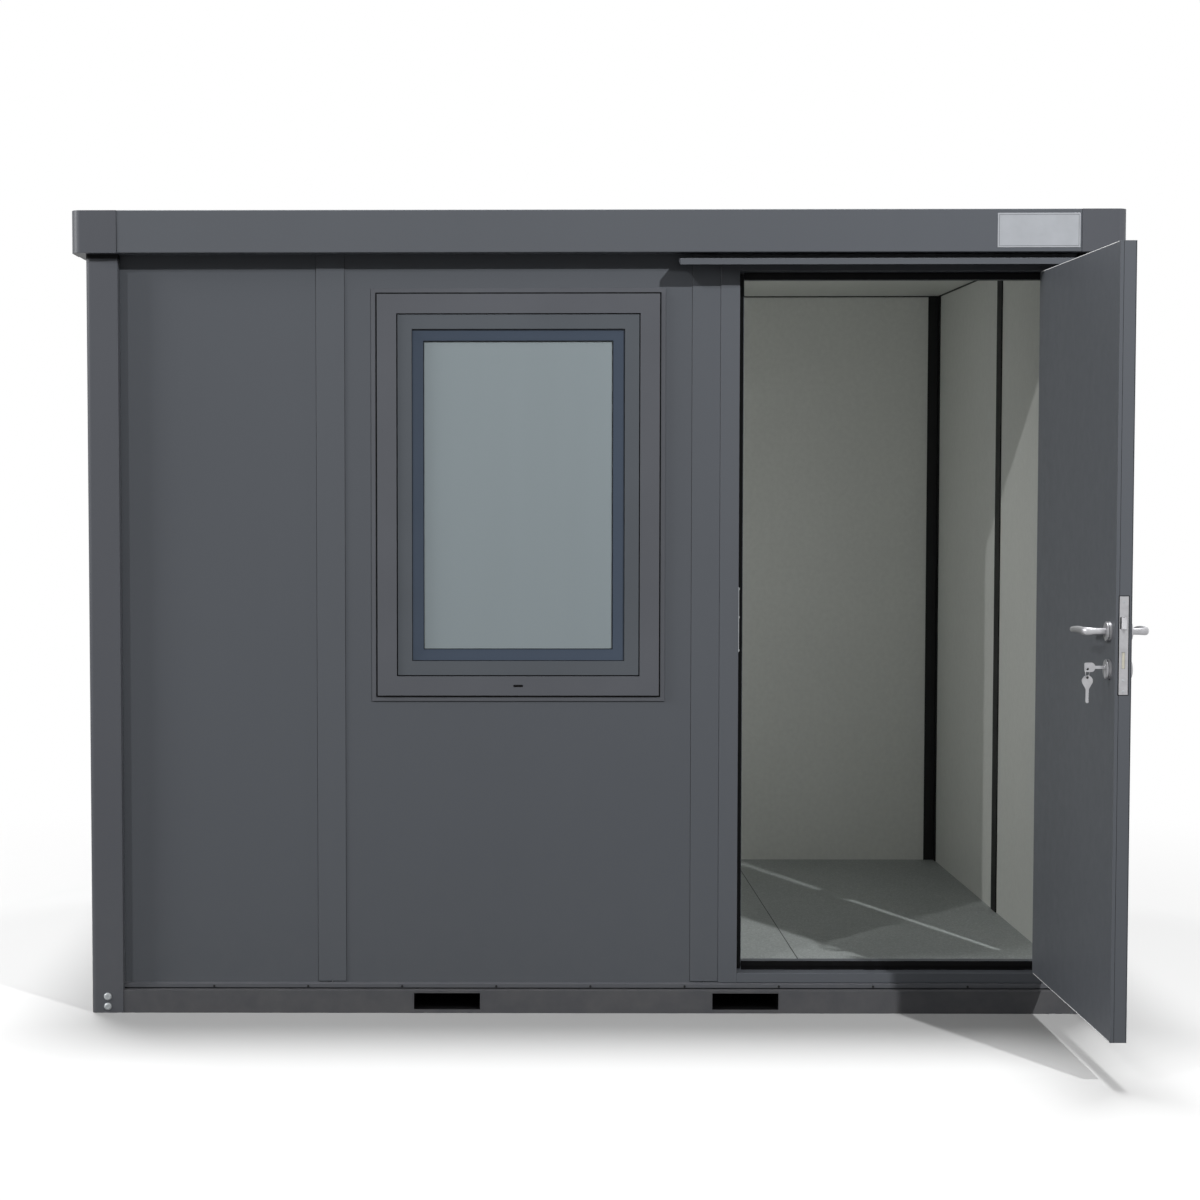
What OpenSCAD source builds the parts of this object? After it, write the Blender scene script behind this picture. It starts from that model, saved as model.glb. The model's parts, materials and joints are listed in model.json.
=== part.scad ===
// Container office: a flat-pack site cabin with one window and one outward-opening door.
// Origin on the ground under the middle of the cabin. X runs to the right, Y to the back, Z up.
// The front faces -Y. The door stands open at a right angle to the front.

/* [Overall] */
// Length over the roof frame, left to right
roof_length = 3023; // [2550:1:3900]
// Depth over the roof frame, front to back
roof_depth = 2280; // [2000:1:3600]
// Height from the ground to the top of the roof frame
total_height = 2330; // [1930:1:2900]

/* [Frame] */
// Width of a corner post, along both walls
post_w = 92; // [76:1:112]
// Rounding of a post's outer edge
post_round = 13; // [4:1:20]
// How far the roof frame reaches past the posts at the sides
side_overhang = 36; // [6:1:60]
// How far the roof frame reaches past the posts at the front and back
eave_overhang = 36; // [6:1:120]
// Height of the roof frame
roof_beam_h = 122; // [100:1:180]
// Thickness of the folded steel of the roof beams
roof_beam_t = 4; // [2:0.5:6]
// Length of a roof corner block along the front
corner_block_l = 130; // [118:1:200]
// Rounding of a roof corner block's outer edge
corner_block_round = 28; // [5:1:45]
// How far the corner blocks stand proud of the roof beams
corner_block_proud = 2; // [1:0.5:6]
// Height of the base rails
base_rail_h = 67; // [60:1:120]
// How far the base rails are set back from the posts' faces
base_rail_setback = 2; // [1:1:34]

/* [Walls] */
// Thickness of a wall panel
wall_t = 80; // [60:1:110]
// How far the wall panels are set back from the posts' faces
wall_setback = 38; // [36:1:46]
// Width of the bay that holds the window, between the middles of its joint strips
window_bay = 1090; // [1000:1:1250]
// Gap between two wall panels, behind a joint strip
panel_gap = 2; // [1:0.5:6]
// Distance of the side walls' panel joints from the middle, towards the front
side_joint_shift = 130; // [0:1:400]
// Width of an outer joint strip
joint_strip_w = 82; // [50:1:100]
// Thickness of an outer joint strip
joint_strip_t = 3; // [1:0.5:5]
// Gap between a joint strip's foot and the sill trim
joint_strip_gap = 3; // [1:0.5:8]
// Width of an inner joint cover
joint_cover_w = 75; // [40:1:90]
// Leg of an inner corner strip
corner_strip_w = 40; // [25:1:60]
// Thickness of the inner covers and corner strips
cover_t = 4; // [2:0.5:6]
// Height of the sill trim along the foot of the walls
sill_trim_h = 18; // [10:1:30]
// How far the sill trim stands proud of the wall panels
sill_trim_proud = 14; // [8:1:30]

/* [Floor and roof] */
// Height of the floor's surface above the ground
floor_level = 135; // [128:1:180]
// Thickness of the floor deck
deck_t = 22; // [15:1:30]
// Thickness of the floor covering
covering_t = 2; // [1.5:0.5:6]
// Width of a floor joist
joist_w = 50; // [30:1:60]
// Depth of the roof build-up above the ceiling, up to the roof sheet
ceiling_t = 45; // [30:1:60]
// Thickness of the roof sheet with its upstands
roof_sheet_t = 12; // [4:1:14]
// How far the roof sheet lies below the top of the roof frame
roof_recess = 28; // [10:1:40]

/* [Fork pockets] */
// Clear width of a fork pocket
pocket_w = 193; // [150:1:260]
// Clear height of a fork pocket
pocket_h = 48; // [40:1:49]
// Distance between the middles of the two fork pockets
pocket_pitch = 872; // [700:1:1100]
// Height of a fork pocket's clear bottom above the ground
pocket_z = 11; // [10:1:16]
// Wall of a fork tunnel
tunnel_t = 4; // [3:0.5:6]

/* [Window] */
// Width of the window frame
window_w = 819; // [640:1:940]
// Height of the window frame
window_h = 1165; // [800:1:1200]
// Distance from the roof frame down to the top of the window frame
window_drop = 113; // [60:1:200]
// Width of the flat trim round the window frame
window_trim_w = 17; // [10:1:30]
// Thickness of the flat trim round the window frame
window_trim_t = 4; // [2:0.5:8]
// Width of the window frame's members
window_frame_w = 56; // [40:1:70]
// How far the window frame stands proud of the wall
window_frame_proud = 12; // [6:1:20]
// Depth of the window frame
window_frame_d = 70; // [60:1:78]
// Gap between the window frame and the sash
sash_gap = 3; // [2:0.5:5]
// Width of the sash's members beside the glazing bead
sash_w = 42; // [30:1:60]
// How far the sash lies behind the window frame's face
sash_recess = 5; // [2:1:8]
// Width of the glazing bead
bead_w = 33; // [15:1:40]
// Thickness of the glass unit
glass_t = 24; // [18:1:28]
// Width of the drain slot in the window frame
drain_slot_w = 29; // [20:1:40]
// Height of the drain slot in the window frame
drain_slot_h = 7; // [5:1:12]

/* [Door] */
// Width of the door leaf
leaf_w = 908; // [757:1:1090]
// Thickness of the door leaf
leaf_t = 42; // [38:1:50]
// Clearance round the door leaf
leaf_gap = 5; // [5:0.5:8]
// Width of the door frame's face on the lock side
lock_jamb_w = 55; // [40:1:80]
// Width of the door frame's face on the hinge side
hinge_jamb_w = 52.5; // [44:0.5:80]
// Height of the door frame's head above the leaf's clearance
door_head_h = 48; // [25:1:80]
// Height of the step that the door leaf closes over
threshold_h = 113; // [100:1:118]
// How far the door frame stands proud of the wall
door_frame_proud = 6; // [4:1:10]
// Width of the stop that the leaf closes against
stop_w = 17; // [14:1:25]
// Height of the stop behind the leaf's foot
threshold_stop_h = 27; // [20:1:40]
// Width of the rubber seal on the stop
seal_w = 13; // [8:1:13]
// Thickness of the rubber seal on the stop
seal_t = 4; // [3:0.5:6]
// How far the rain canopy over the door reaches in front of the door frame
canopy_reach = 88; // [50:1:120]
// How far the rain canopy runs past the leaf on the lock side
canopy_past_lock = 184; // [20:1:200]
// How far the rain canopy runs past the leaf on the hinge side
canopy_past_hinge = 40; // [0:1:50]
// Height of the rain canopy's front lip
canopy_lip_h = 17; // [10:1:25]
// Thickness of the rain canopy's sheet
canopy_t = 3; // [1.5:0.5:4]

/* [Hinges] */
// Radius of a hinge knuckle
knuckle_r = 9.5; // [8:0.5:11]
// Radius of a hinge pin
pin_r = 5; // [4:0.5:6]
// Clearance between a hinge pin and its bore
pin_fit = 0.1; // [0.05:0.05:0.3]
// Height of one hinge
hinge_h = 120; // [80:1:160]
// Length of a hinge plate
hinge_plate_l = 38; // [25:1:42]
// Thickness of a hinge plate
hinge_plate_t = 4; // [3:0.5:5]
// How far the hinge pins stand in front of the leaf
pin_offset = 12; // [11:0.5:13]
// Distance from the leaf's ends to the middle of the outer hinges
hinge_inset = 200; // [120:1:400]

/* [Lock] */
// Height of the lever's spindle above the ground
lever_z = 1168; // [900:1:1200]
// Distance from the leaf's edge to the spindle
backset = 55; // [50:1:80]
// Distance from the spindle down to the cylinder
cylinder_drop = 92; // [72:1:110]
// Width of the lock's forend
forend_w = 24; // [18:1:30]
// Height of the lock's forend
forend_h = 250; // [220:1:300]
// Thickness of the forend and of the strike plate
forend_t = 3; // [2:0.5:5]
// Height of the latch bolt
latch_h = 30; // [24:1:36]
// Thickness of the latch bolt
latch_t = 12; // [10:1:14]
// How far the latch bolt stands out
latch_throw = 12; // [8:1:14]
// Radius of a rose
rose_r = 25; // [20:1:28]
// Thickness of a rose
rose_t = 12; // [5:1:14]
// Radius of the lever's bar
lever_r = 8; // [7:0.5:10]
// Distance from the leaf to the lever's middle
lever_standoff = 60; // [45:1:65]
// Length of the lever from its spindle
lever_l = 138; // [100:1:150]
// Width of the strike plate
strike_w = 30; // [26:1:34]
// Height of the strike plate
strike_h = 189; // [160:1:230]

/* [Label] */
// Width of the blank label plate
label_w = 236; // [100:1:300]
// Height of the blank label plate
label_h = 98; // [40:1:100]
// Thickness of the blank label plate
label_t = 1.5; // [1:0.5:3]
// Distance from the label plate to the right corner block
label_inset = 5; // [4:1:200]

/* [Hidden] */
$fn = 48;
eps = 1;

// Outer faces of the roof frame, of the posts and of the walls, and the walls' inner faces
roof_x = roof_length / 2;
roof_y = roof_depth / 2;
post_x = roof_x - side_overhang;
post_y = roof_y - eave_overhang;
wall_x = post_x - wall_setback;
wall_y = post_y - wall_setback;
room_x = wall_x - wall_t;
room_y = wall_y - wall_t;
rail_x = post_x - base_rail_setback;
rail_y = post_y - base_rail_setback;
bay_x = post_x - post_w;
bay_y = post_y - post_w;

// Levels
eave_z = total_height - roof_beam_h;
sheet_top_z = total_height - roof_recess;
ceiling_z = sheet_top_z - roof_sheet_t - ceiling_t;
trim_z = base_rail_h + sill_trim_h;
deck_z = floor_level - covering_t - deck_t;

// Door, drawn closed: the frame's face, the leaf and the hinge axis
door_y = -wall_y - door_frame_proud;
hinge_rebate_x = bay_x - hinge_jamb_w;
leaf_x1 = hinge_rebate_x - leaf_gap;
leaf_x0 = leaf_x1 - leaf_w;
lock_rebate_x = leaf_x0 - leaf_gap;
lock_jamb_x = lock_rebate_x - lock_jamb_w;
leaf_y1 = door_y + leaf_t;
stop_y = leaf_y1 + leaf_gap + seal_t;
leaf_z0 = threshold_h + leaf_gap;
head_z = eave_z - door_head_h;
leaf_z1 = head_z - leaf_gap;
pin_x = hinge_rebate_x - leaf_gap / 2;
pin_y = door_y - pin_offset;
hinge_zs = [leaf_z0 + hinge_inset, (leaf_z0 + leaf_z1) / 2, leaf_z1 - hinge_inset];
rest_angle = 90;

// Joint strips: the right one meets the door frame, the left one is a window bay away
joint_xs = [lock_jamb_x - joint_strip_w / 2 - window_bay, lock_jamb_x - joint_strip_w / 2];

// Window: middle, outline and the depth of its layers
window_x = (joint_xs[0] + joint_xs[1]) / 2;
window_z1 = eave_z - window_drop;
window_z = window_z1 - window_h / 2;
window_y0 = -wall_y - window_frame_proud;
window_y1 = window_y0 + window_frame_d;
frame_stop_t = 6;
frame_stop_w = 12;
sash_y0 = window_y0 + sash_recess;
sash_y1 = window_y1 - frame_stop_t;
sash_lip_t = 16;
glass_y1 = sash_y1 - sash_lip_t;
glass_y0 = glass_y1 - glass_t;
sash_outer_w = window_w - 2 * (window_frame_w + sash_gap);
sash_outer_h = window_h - 2 * (window_frame_w + sash_gap);
glazed_w = sash_outer_w - 2 * sash_w;
glazed_h = sash_outer_h - 2 * sash_w;
pane_gap = 0.3;

// Lock: its middle plane in the leaf, the latch and the cylinder
lock_x = leaf_x0 + backset;
lock_y = (door_y + leaf_y1) / 2;
latch_rise = 24;
latch_z = lever_z + latch_rise;
latch_l = 28;
latch_fit = 0.3;
latch_slack = 1;
keep_room = 4;
bolt_slot_drop = 71;
bolt_slot_z = lever_z - bolt_slot_drop;
bolt_slot_h = 42;
bolt_slot_w = 8;
forend_drop = 33;
forend_z = lever_z - forend_drop;
strike_drop = 17;
strike_z = lever_z - strike_drop;
cylinder_z = lever_z - cylinder_drop;
cylinder_r = 8.5;
cylinder_tail_w = 10;
cylinder_tail_h = 24;
cylinder_proud = 14;
cylinder_rose_drop = 5;
lock_fit = 0.3;
spindle_r = 5;
spindle_hole_r = 9;

// Keys: the bows, the blades and the ring
key_t = 2.5;
key_blade_w = 8;
key_neck = 5;
key_bow_r = 13;
key_hole_r = 3.5;
key_hole_share = 1.45;
key_wire_r = 1;
key_ring_r = 12;
spare_bow_r = 14;
spare_blade = 38;

// Roof frame and floor
block_d = roof_y - bay_y;
block_inner_y = bay_y;
tunnel_x = pocket_pitch / 2;
tunnel_out = pocket_w / 2 + tunnel_t;
tunnel_z0 = pocket_z - tunnel_t;
tunnel_z1 = pocket_z + pocket_h + tunnel_t;

// Colours of the finishes
anthracite = [0.34, 0.35, 0.37];
anthracite_light = [0.38, 0.39, 0.41];
lining = [0.78, 0.79, 0.77];
galvanised = [0.62, 0.64, 0.66];
floor_grey = [0.45, 0.46, 0.46];
plywood = [0.62, 0.48, 0.32];
rubber_black = [0.04, 0.04, 0.04];
bead_blue = [0.27, 0.32, 0.38];
pane_colour = [0.55, 0.6, 0.62];
nickel = [0.8, 0.8, 0.8];
label_grey = [0.85, 0.86, 0.87];

// A block between two opposite corners
module block(x, y, z) {
    translate([x[0], y[0], z[0]]) cube([x[1] - x[0], y[1] - y[0], z[1] - z[0]]);
}

// Copies of a piece at both ends of the cabin, at the front and back, and at all four corners
module left_and_right() {
    for (m = [0, 1]) mirror([m, 0, 0]) children();
}

module front_and_back() {
    for (m = [0, 1]) mirror([0, m, 0]) children();
}

module four_corners() {
    left_and_right() front_and_back() children();
}

// A plate outline with one rounded corner at its far right
module rounded_corner_outline(w, d, r) {
    union() {
        square([w - r, d]);
        square([w, d - r]);
        translate([w - r, d - r]) circle(r);
    }
}

// A flat ring standing in the front wall, round a middle point
module wall_ring(x, z, outer_w, outer_h, inner_w, inner_h, y) {
    difference() {
        block([x - outer_w / 2, x + outer_w / 2], y, [z - outer_h / 2, z + outer_h / 2]);
        block([x - inner_w / 2, x + inner_w / 2], [y[0] - eps, y[1] + eps],
            [z - inner_h / 2, z + inner_h / 2]);
    }
}

// A side wall's member between the posts, notched where the front and back walls pass it
module side_member(x_out, z) {
    difference() {
        block([room_x, x_out], [-bay_y, bay_y], z);
        front_and_back() block([room_x - eps, bay_x], [room_y, bay_y + eps], [z[0] - eps, z[1] + eps]);
    }
}

// Turns a piece that is drawn with the door closed to the open rest position
module opened() {
    translate([pin_x, pin_y, 0]) rotate([0, 0, rest_angle]) translate([-pin_x, -pin_y, 0]) children();
}

// A round bar along Y
module bar_y(x, z, y, r) {
    translate([x, y[1], z]) rotate([90, 0, 0]) cylinder(r = r, h = y[1] - y[0]);
}

module corner_posts() {
    color(anthracite)
    four_corners()
    translate([bay_x, bay_y, 0])
    linear_extrude(eave_z)
    rounded_corner_outline(post_w, post_w, post_round);
}

module base_long_rails() {
    color(anthracite)
    front_and_back()
    difference() {
        block([-bay_x, bay_x], [room_y, rail_y], [0, base_rail_h]);
        left_and_right()
        block([tunnel_x - tunnel_out, tunnel_x + tunnel_out], [room_y - eps, rail_y + eps],
            [tunnel_z0, tunnel_z1]);
    }
}

module base_side_rails() {
    color(anthracite)
    left_and_right() side_member(rail_x, [0, base_rail_h]);
}

module fork_tunnels() {
    color(anthracite)
    left_and_right()
    difference() {
        block([tunnel_x - tunnel_out, tunnel_x + tunnel_out], [-rail_y, rail_y], [tunnel_z0, tunnel_z1]);
        block([tunnel_x - pocket_w / 2, tunnel_x + pocket_w / 2], [-rail_y - eps, rail_y + eps],
            [pocket_z, pocket_z + pocket_h]);
    }
}

// Joists run front to back: three between the fork tunnels and three past each
module floor_joists() {
    inner_pitch = (tunnel_x - tunnel_out) / 2;
    first = tunnel_x + tunnel_out + joist_w;
    last = room_x - joist_w / 2;
    outer_xs = [for (i = [0:2]) first + i * (last - first) / 2];
    color(galvanised)
    for (x = [-inner_pitch, 0, inner_pitch, each outer_xs, each -outer_xs])
        block([x - joist_w / 2, x + joist_w / 2], [-room_y, room_y], [0, deck_z]);
}

module floor_deck() {
    color(plywood)
    block([-room_x, room_x], [-room_y, room_y], [deck_z, deck_z + deck_t]);
}

module floor_covering() {
    color(floor_grey)
    block([-room_x, room_x], [-room_y, room_y], [deck_z + deck_t, floor_level]);
}

// A folded channel, open towards the cabin, that spans the eave to the wall
module roof_beam_section(d, h, t) {
    difference() {
        square([d, h]);
        translate([-eps, t]) square([d - t + eps, h - 2 * t]);
    }
}

module roof_long_beams() {
    length = 2 * (roof_x - corner_block_l);
    color(anthracite_light)
    front_and_back()
    translate([-length / 2, wall_y, eave_z])
    rotate([90, 0, 90])
    linear_extrude(length)
    roof_beam_section(roof_y - corner_block_proud - wall_y, roof_beam_h, roof_beam_t);
}

module roof_side_beams() {
    length = 2 * block_inner_y;
    color(anthracite_light)
    left_and_right()
    translate([wall_x, length / 2, eave_z])
    rotate([90, 0, 0])
    linear_extrude(length)
    roof_beam_section(roof_x - corner_block_proud - wall_x, roof_beam_h, roof_beam_t);
}

// L-shaped in plan: its long leg carries the post, its short leg closes the long beam
module roof_corner_blocks() {
    color(anthracite_light)
    four_corners()
    translate([0, 0, eave_z])
    linear_extrude(roof_beam_h)
    difference() {
        translate([roof_x - corner_block_l, block_inner_y])
        rounded_corner_outline(corner_block_l, block_d, corner_block_round);
        translate([bay_x - corner_block_l, block_inner_y - eps])
        square([corner_block_l, wall_y - block_inner_y + eps]);
    }
}

// A layer between the roof beams, cut back at the four corner blocks
module roof_layer(z) {
    block([-wall_x, wall_x], [-block_inner_y, block_inner_y], z);
    block([-bay_x, bay_x], [-wall_y, wall_y], z);
}

module roof_sheet() {
    color(galvanised)
    roof_layer([sheet_top_z - roof_sheet_t, sheet_top_z]);
}

module ceiling_panel() {
    color(lining)
    roof_layer([ceiling_z, ceiling_z + ceiling_t]);
}

// A stretch of the front or back wall between two places along X
module long_wall_panel(x) {
    block(x, [-wall_y, -room_y], [base_rail_h, ceiling_z]);
}

module front_panel_left() {
    color(anthracite)
    long_wall_panel([-bay_x, joint_xs[0] - panel_gap / 2]);
}

module window_panel() {
    clear = 1;
    color(anthracite)
    difference() {
        long_wall_panel([joint_xs[0] + panel_gap / 2, joint_xs[1] - panel_gap / 2]);
        block([window_x - window_w / 2 - clear, window_x + window_w / 2 + clear],
            [-wall_y - eps, -room_y + eps], [window_z1 - window_h - clear, window_z1 + clear]);
    }
}

module back_panels() {
    edges = [-bay_x - panel_gap / 2, joint_xs[0], joint_xs[1], bay_x + panel_gap / 2];
    color(anthracite)
    mirror([0, 1, 0])
    for (i = [0:2]) long_wall_panel([edges[i] + panel_gap / 2, edges[i + 1] - panel_gap / 2]);
}

// Two panels that meet in a side wall, a little in front of its middle
module side_panels() {
    difference() {
        side_member(wall_x, [base_rail_h, ceiling_z]);
        block([room_x - eps, wall_x + eps],
            [-side_joint_shift - panel_gap / 2, -side_joint_shift + panel_gap / 2],
            [base_rail_h - eps, ceiling_z + eps]);
    }
}

module left_panels() {
    color(anthracite) mirror([1, 0, 0]) side_panels();
}

module right_panels() {
    color(anthracite) side_panels();
}

// Joint strips on the outside of a long wall
module long_wall_strips() {
    for (x = joint_xs)
        block([x - joint_strip_w / 2, x + joint_strip_w / 2], [-wall_y - joint_strip_t, -wall_y],
            [trim_z + joint_strip_gap, eave_z]);
}

module front_joint_strips() {
    color(anthracite) long_wall_strips();
}

module back_joint_strips() {
    color(anthracite) mirror([0, 1, 0]) long_wall_strips();
}

module side_joint_strips() {
    color(anthracite)
    left_and_right()
    block([wall_x, wall_x + joint_strip_t],
        [-side_joint_shift - joint_strip_w / 2, -side_joint_shift + joint_strip_w / 2],
        [trim_z + joint_strip_gap, eave_z]);
}

module inner_joint_covers() {
    z = [floor_level, ceiling_z];
    color(anthracite)
    for (x = joint_xs)
        front_and_back()
        block([x - joint_cover_w / 2, x + joint_cover_w / 2], [room_y - cover_t, room_y], z);
    color(anthracite)
    left_and_right()
    block([room_x - cover_t, room_x],
        [-side_joint_shift - joint_cover_w / 2, -side_joint_shift + joint_cover_w / 2], z);
}

module inner_corner_strips() {
    color(anthracite)
    four_corners()
    translate([room_x, room_y, floor_level])
    linear_extrude(ceiling_z - floor_level)
    difference() {
        translate([-corner_strip_w, -corner_strip_w]) square(corner_strip_w);
        translate([-corner_strip_w - eps, -corner_strip_w - eps]) square(corner_strip_w - cover_t + eps);
    }
}

// The sill trim's section: a sloped top that sheds rain and a drip edge over the base rail
module sill_trim_section() {
    slope = 3;
    drip_h = 3.5;
    drip_d = 6;
    polygon([[0, 0], [sill_trim_proud - drip_d, 0], [sill_trim_proud - drip_d, drip_h],
        [sill_trim_proud, drip_h], [sill_trim_proud, sill_trim_h - slope], [0, sill_trim_h]]);
}

module sill_trims() {
    color(anthracite_light)
    front_and_back()
    translate([-bay_x, wall_y, base_rail_h])
    rotate([90, 0, 90])
    linear_extrude(2 * bay_x)
    sill_trim_section();
    color(anthracite_light)
    left_and_right()
    translate([wall_x, bay_y, base_rail_h])
    rotate([90, 0, 0])
    linear_extrude(2 * bay_y)
    sill_trim_section();
}

// The flat trims cover the panel's cut edge outside and inside
module window_trim() {
    lap = 8;
    color(anthracite_light)
    wall_ring(window_x, window_z, window_w + 2 * window_trim_w, window_h + 2 * window_trim_w,
        window_w, window_h, [-wall_y - window_trim_t, -wall_y]);
    color(anthracite_light)
    wall_ring(window_x, window_z, window_w + 2 * window_trim_w, window_h + 2 * window_trim_w,
        window_w - 2 * lap, window_h - 2 * lap, [-room_y, -room_y + window_trim_t]);
}

// A slot with round ends
module drain_slot(z, y) {
    half = (drain_slot_w - drain_slot_h) / 2;
    block([window_x - half, window_x + half], y, [z - drain_slot_h / 2, z + drain_slot_h / 2]);
    for (side = [-1, 1]) bar_y(window_x + side * half, z, y, drain_slot_h / 2);
}

module window_frame() {
    slot_depth = 10;
    opening_w = window_w - 2 * window_frame_w;
    opening_h = window_h - 2 * window_frame_w;
    slot_z = window_z1 - window_h + window_frame_w / 2;
    color(anthracite_light)
    difference() {
        union() {
            wall_ring(window_x, window_z, window_w, window_h, opening_w, opening_h,
                [window_y0, window_y1]);
            wall_ring(window_x, window_z, window_w - eps, window_h - eps,
                opening_w - 2 * frame_stop_w, opening_h - 2 * frame_stop_w, [sash_y1, window_y1]);
        }
        drain_slot(slot_z, [window_y0 - eps, window_y0 + slot_depth]);
    }
}

module window_sash() {
    color(anthracite_light)
    union() {
        wall_ring(window_x, window_z, sash_outer_w, sash_outer_h, glazed_w, glazed_h,
            [sash_y0, sash_y1 - pane_gap]);
        wall_ring(window_x, window_z, sash_outer_w - eps, sash_outer_h - eps,
            glazed_w - 2 * bead_w, glazed_h - 2 * bead_w, [glass_y1, sash_y1 - pane_gap]);
    }
}

// One side of the bead, mitred at both ends, lying along X with its slope facing the front
module bead_side(length, width, depth) {
    fall = 8;
    intersection() {
        translate([-length / 2, 0, 0])
        rotate([90, 0, 90])
        linear_extrude(length)
        polygon([[0, 0], [-depth, 0], [fall - depth, width], [0, width]]);
        translate([0, eps, 0])
        rotate([90, 0, 0])
        linear_extrude(depth + 2 * eps)
        polygon([[-length / 2, 0], [length / 2, 0], [length / 2 - width, width],
            [-length / 2 + width, width]]);
    }
}

module glazing_bead() {
    step = 4;
    depth = glass_y0 - sash_y0 - step;
    color(bead_blue)
    translate([window_x, glass_y0, window_z])
    union() {
        for (turn = [0, 180])
            rotate([0, turn, 0]) translate([0, 0, -glazed_h / 2]) bead_side(glazed_w, bead_w, depth);
        for (turn = [90, 270])
            rotate([0, turn, 0]) translate([0, 0, -glazed_w / 2]) bead_side(glazed_h, bead_w, depth);
    }
}

module window_glass() {
    edge = 2;
    color(pane_colour)
    block([window_x - glazed_w / 2 + edge, window_x + glazed_w / 2 - edge], [glass_y0, glass_y1],
        [window_z - glazed_h / 2 + edge, window_z + glazed_h / 2 - edge]);
}

// The pocket in the lock-side jamb that takes the latch bolt
module latch_keep(depth) {
    block([lock_rebate_x - depth, lock_rebate_x + eps],
        [lock_y - latch_t / 2 - keep_room, lock_y + latch_t / 2 + keep_room],
        [latch_z - latch_h / 2 - keep_room, latch_z + latch_h / 2 + keep_room]);
}

module strike_outline(depth) {
    block([lock_rebate_x - depth, lock_rebate_x + eps], [lock_y - strike_w / 2, lock_y + strike_w / 2],
        [strike_z - strike_h / 2, strike_z + strike_h / 2]);
}

module door_jamb_lock_side() {
    keep_depth = latch_throw - leaf_gap + keep_room + forend_t;
    color(anthracite_light)
    difference() {
        union() {
            block([joint_xs[1] + panel_gap / 2, lock_rebate_x], [-wall_y, -room_y],
                [base_rail_h, ceiling_z]);
            block([lock_jamb_x, lock_rebate_x], [door_y, -wall_y + eps], [trim_z, eave_z]);
            block([lock_rebate_x - eps, lock_rebate_x + stop_w], [stop_y, -room_y],
                [threshold_h, head_z]);
        }
        strike_outline(forend_t);
        latch_keep(keep_depth);
    }
}

module door_jamb_hinge_side() {
    color(anthracite_light)
    union() {
        block([hinge_rebate_x, bay_x], [-wall_y, -room_y], [base_rail_h, ceiling_z]);
        block([hinge_rebate_x, bay_x], [door_y, -wall_y + eps], [trim_z, eave_z]);
        block([hinge_rebate_x - stop_w, hinge_rebate_x + eps], [stop_y, -room_y],
            [threshold_h, head_z]);
    }
}

module door_head() {
    color(anthracite_light)
    union() {
        block([lock_rebate_x, hinge_rebate_x], [-wall_y, -room_y], [head_z, ceiling_z]);
        block([lock_rebate_x, hinge_rebate_x], [door_y, -wall_y + eps], [head_z, eave_z]);
        block([lock_rebate_x + stop_w, hinge_rebate_x - stop_w], [stop_y, -room_y],
            [head_z - leaf_gap - stop_w, head_z + eps]);
    }
}

module door_threshold() {
    color(anthracite_light)
    union() {
        block([lock_rebate_x, hinge_rebate_x], [-wall_y, -room_y], [base_rail_h, threshold_h]);
        block([lock_rebate_x, hinge_rebate_x], [door_y, -wall_y + eps], [trim_z, threshold_h]);
        block([lock_rebate_x + stop_w, hinge_rebate_x - stop_w], [stop_y, -room_y],
            [threshold_h - eps, threshold_h + threshold_stop_h]);
    }
}

// Four rubber strips on the front of the stop, two upright and two level
module door_seal() {
    margin = (stop_w - seal_w) / 2;
    y = [stop_y - seal_t, stop_y];
    foot_z = threshold_h + threshold_stop_h - margin - seal_w;
    top_z = head_z - leaf_gap - stop_w + margin;
    lock_x1 = lock_rebate_x + margin + seal_w;
    hinge_x0 = hinge_rebate_x - margin - seal_w;
    color(rubber_black) {
        block([lock_x1 - seal_w, lock_x1], y, [leaf_z0, leaf_z1]);
        block([hinge_x0, hinge_x0 + seal_w], y, [leaf_z0, leaf_z1]);
        for (z = [foot_z, top_z])
            block([lock_rebate_x + stop_w, hinge_rebate_x - stop_w], y, [z, z + seal_w]);
    }
}

// A sloped sheet with a front lip, closed by a gusset at each end
module rain_canopy() {
    fall = 10;
    drop = 10;
    top_z = eave_z - drop;
    lip_z = top_z - fall;
    end_rise = 8;
    x0 = leaf_x0 - canopy_past_lock;
    x1 = leaf_x1 + canopy_past_hinge;
    color(anthracite_light)
    translate([x0, door_y, 0])
    rotate([90, 0, 90]) {
        linear_extrude(x1 - x0)
        polygon([[0, top_z], [-canopy_reach, lip_z], [-canopy_reach, lip_z - canopy_lip_h],
            [-canopy_reach + canopy_t, lip_z - canopy_lip_h], [-canopy_reach + canopy_t, lip_z - canopy_t],
            [0, top_z - canopy_t]]);
        for (x = [0, x1 - x0 - canopy_t])
            translate([0, 0, x])
            linear_extrude(canopy_t)
            polygon([[0, top_z], [-canopy_reach, lip_z], [-canopy_reach, lip_z - canopy_lip_h],
                [0, top_z - canopy_t - end_rise]]);
    }
}

module strike_plate() {
    color(nickel)
    difference() {
        translate([-eps, 0, 0]) strike_outline(forend_t - eps);
        latch_keep(forend_t + eps);
        block([lock_rebate_x - forend_t - eps, lock_rebate_x + eps],
            [lock_y - bolt_slot_w / 2, lock_y + bolt_slot_w / 2],
            [bolt_slot_z - bolt_slot_h / 2, bolt_slot_z + bolt_slot_h / 2]);
    }
}

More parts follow.
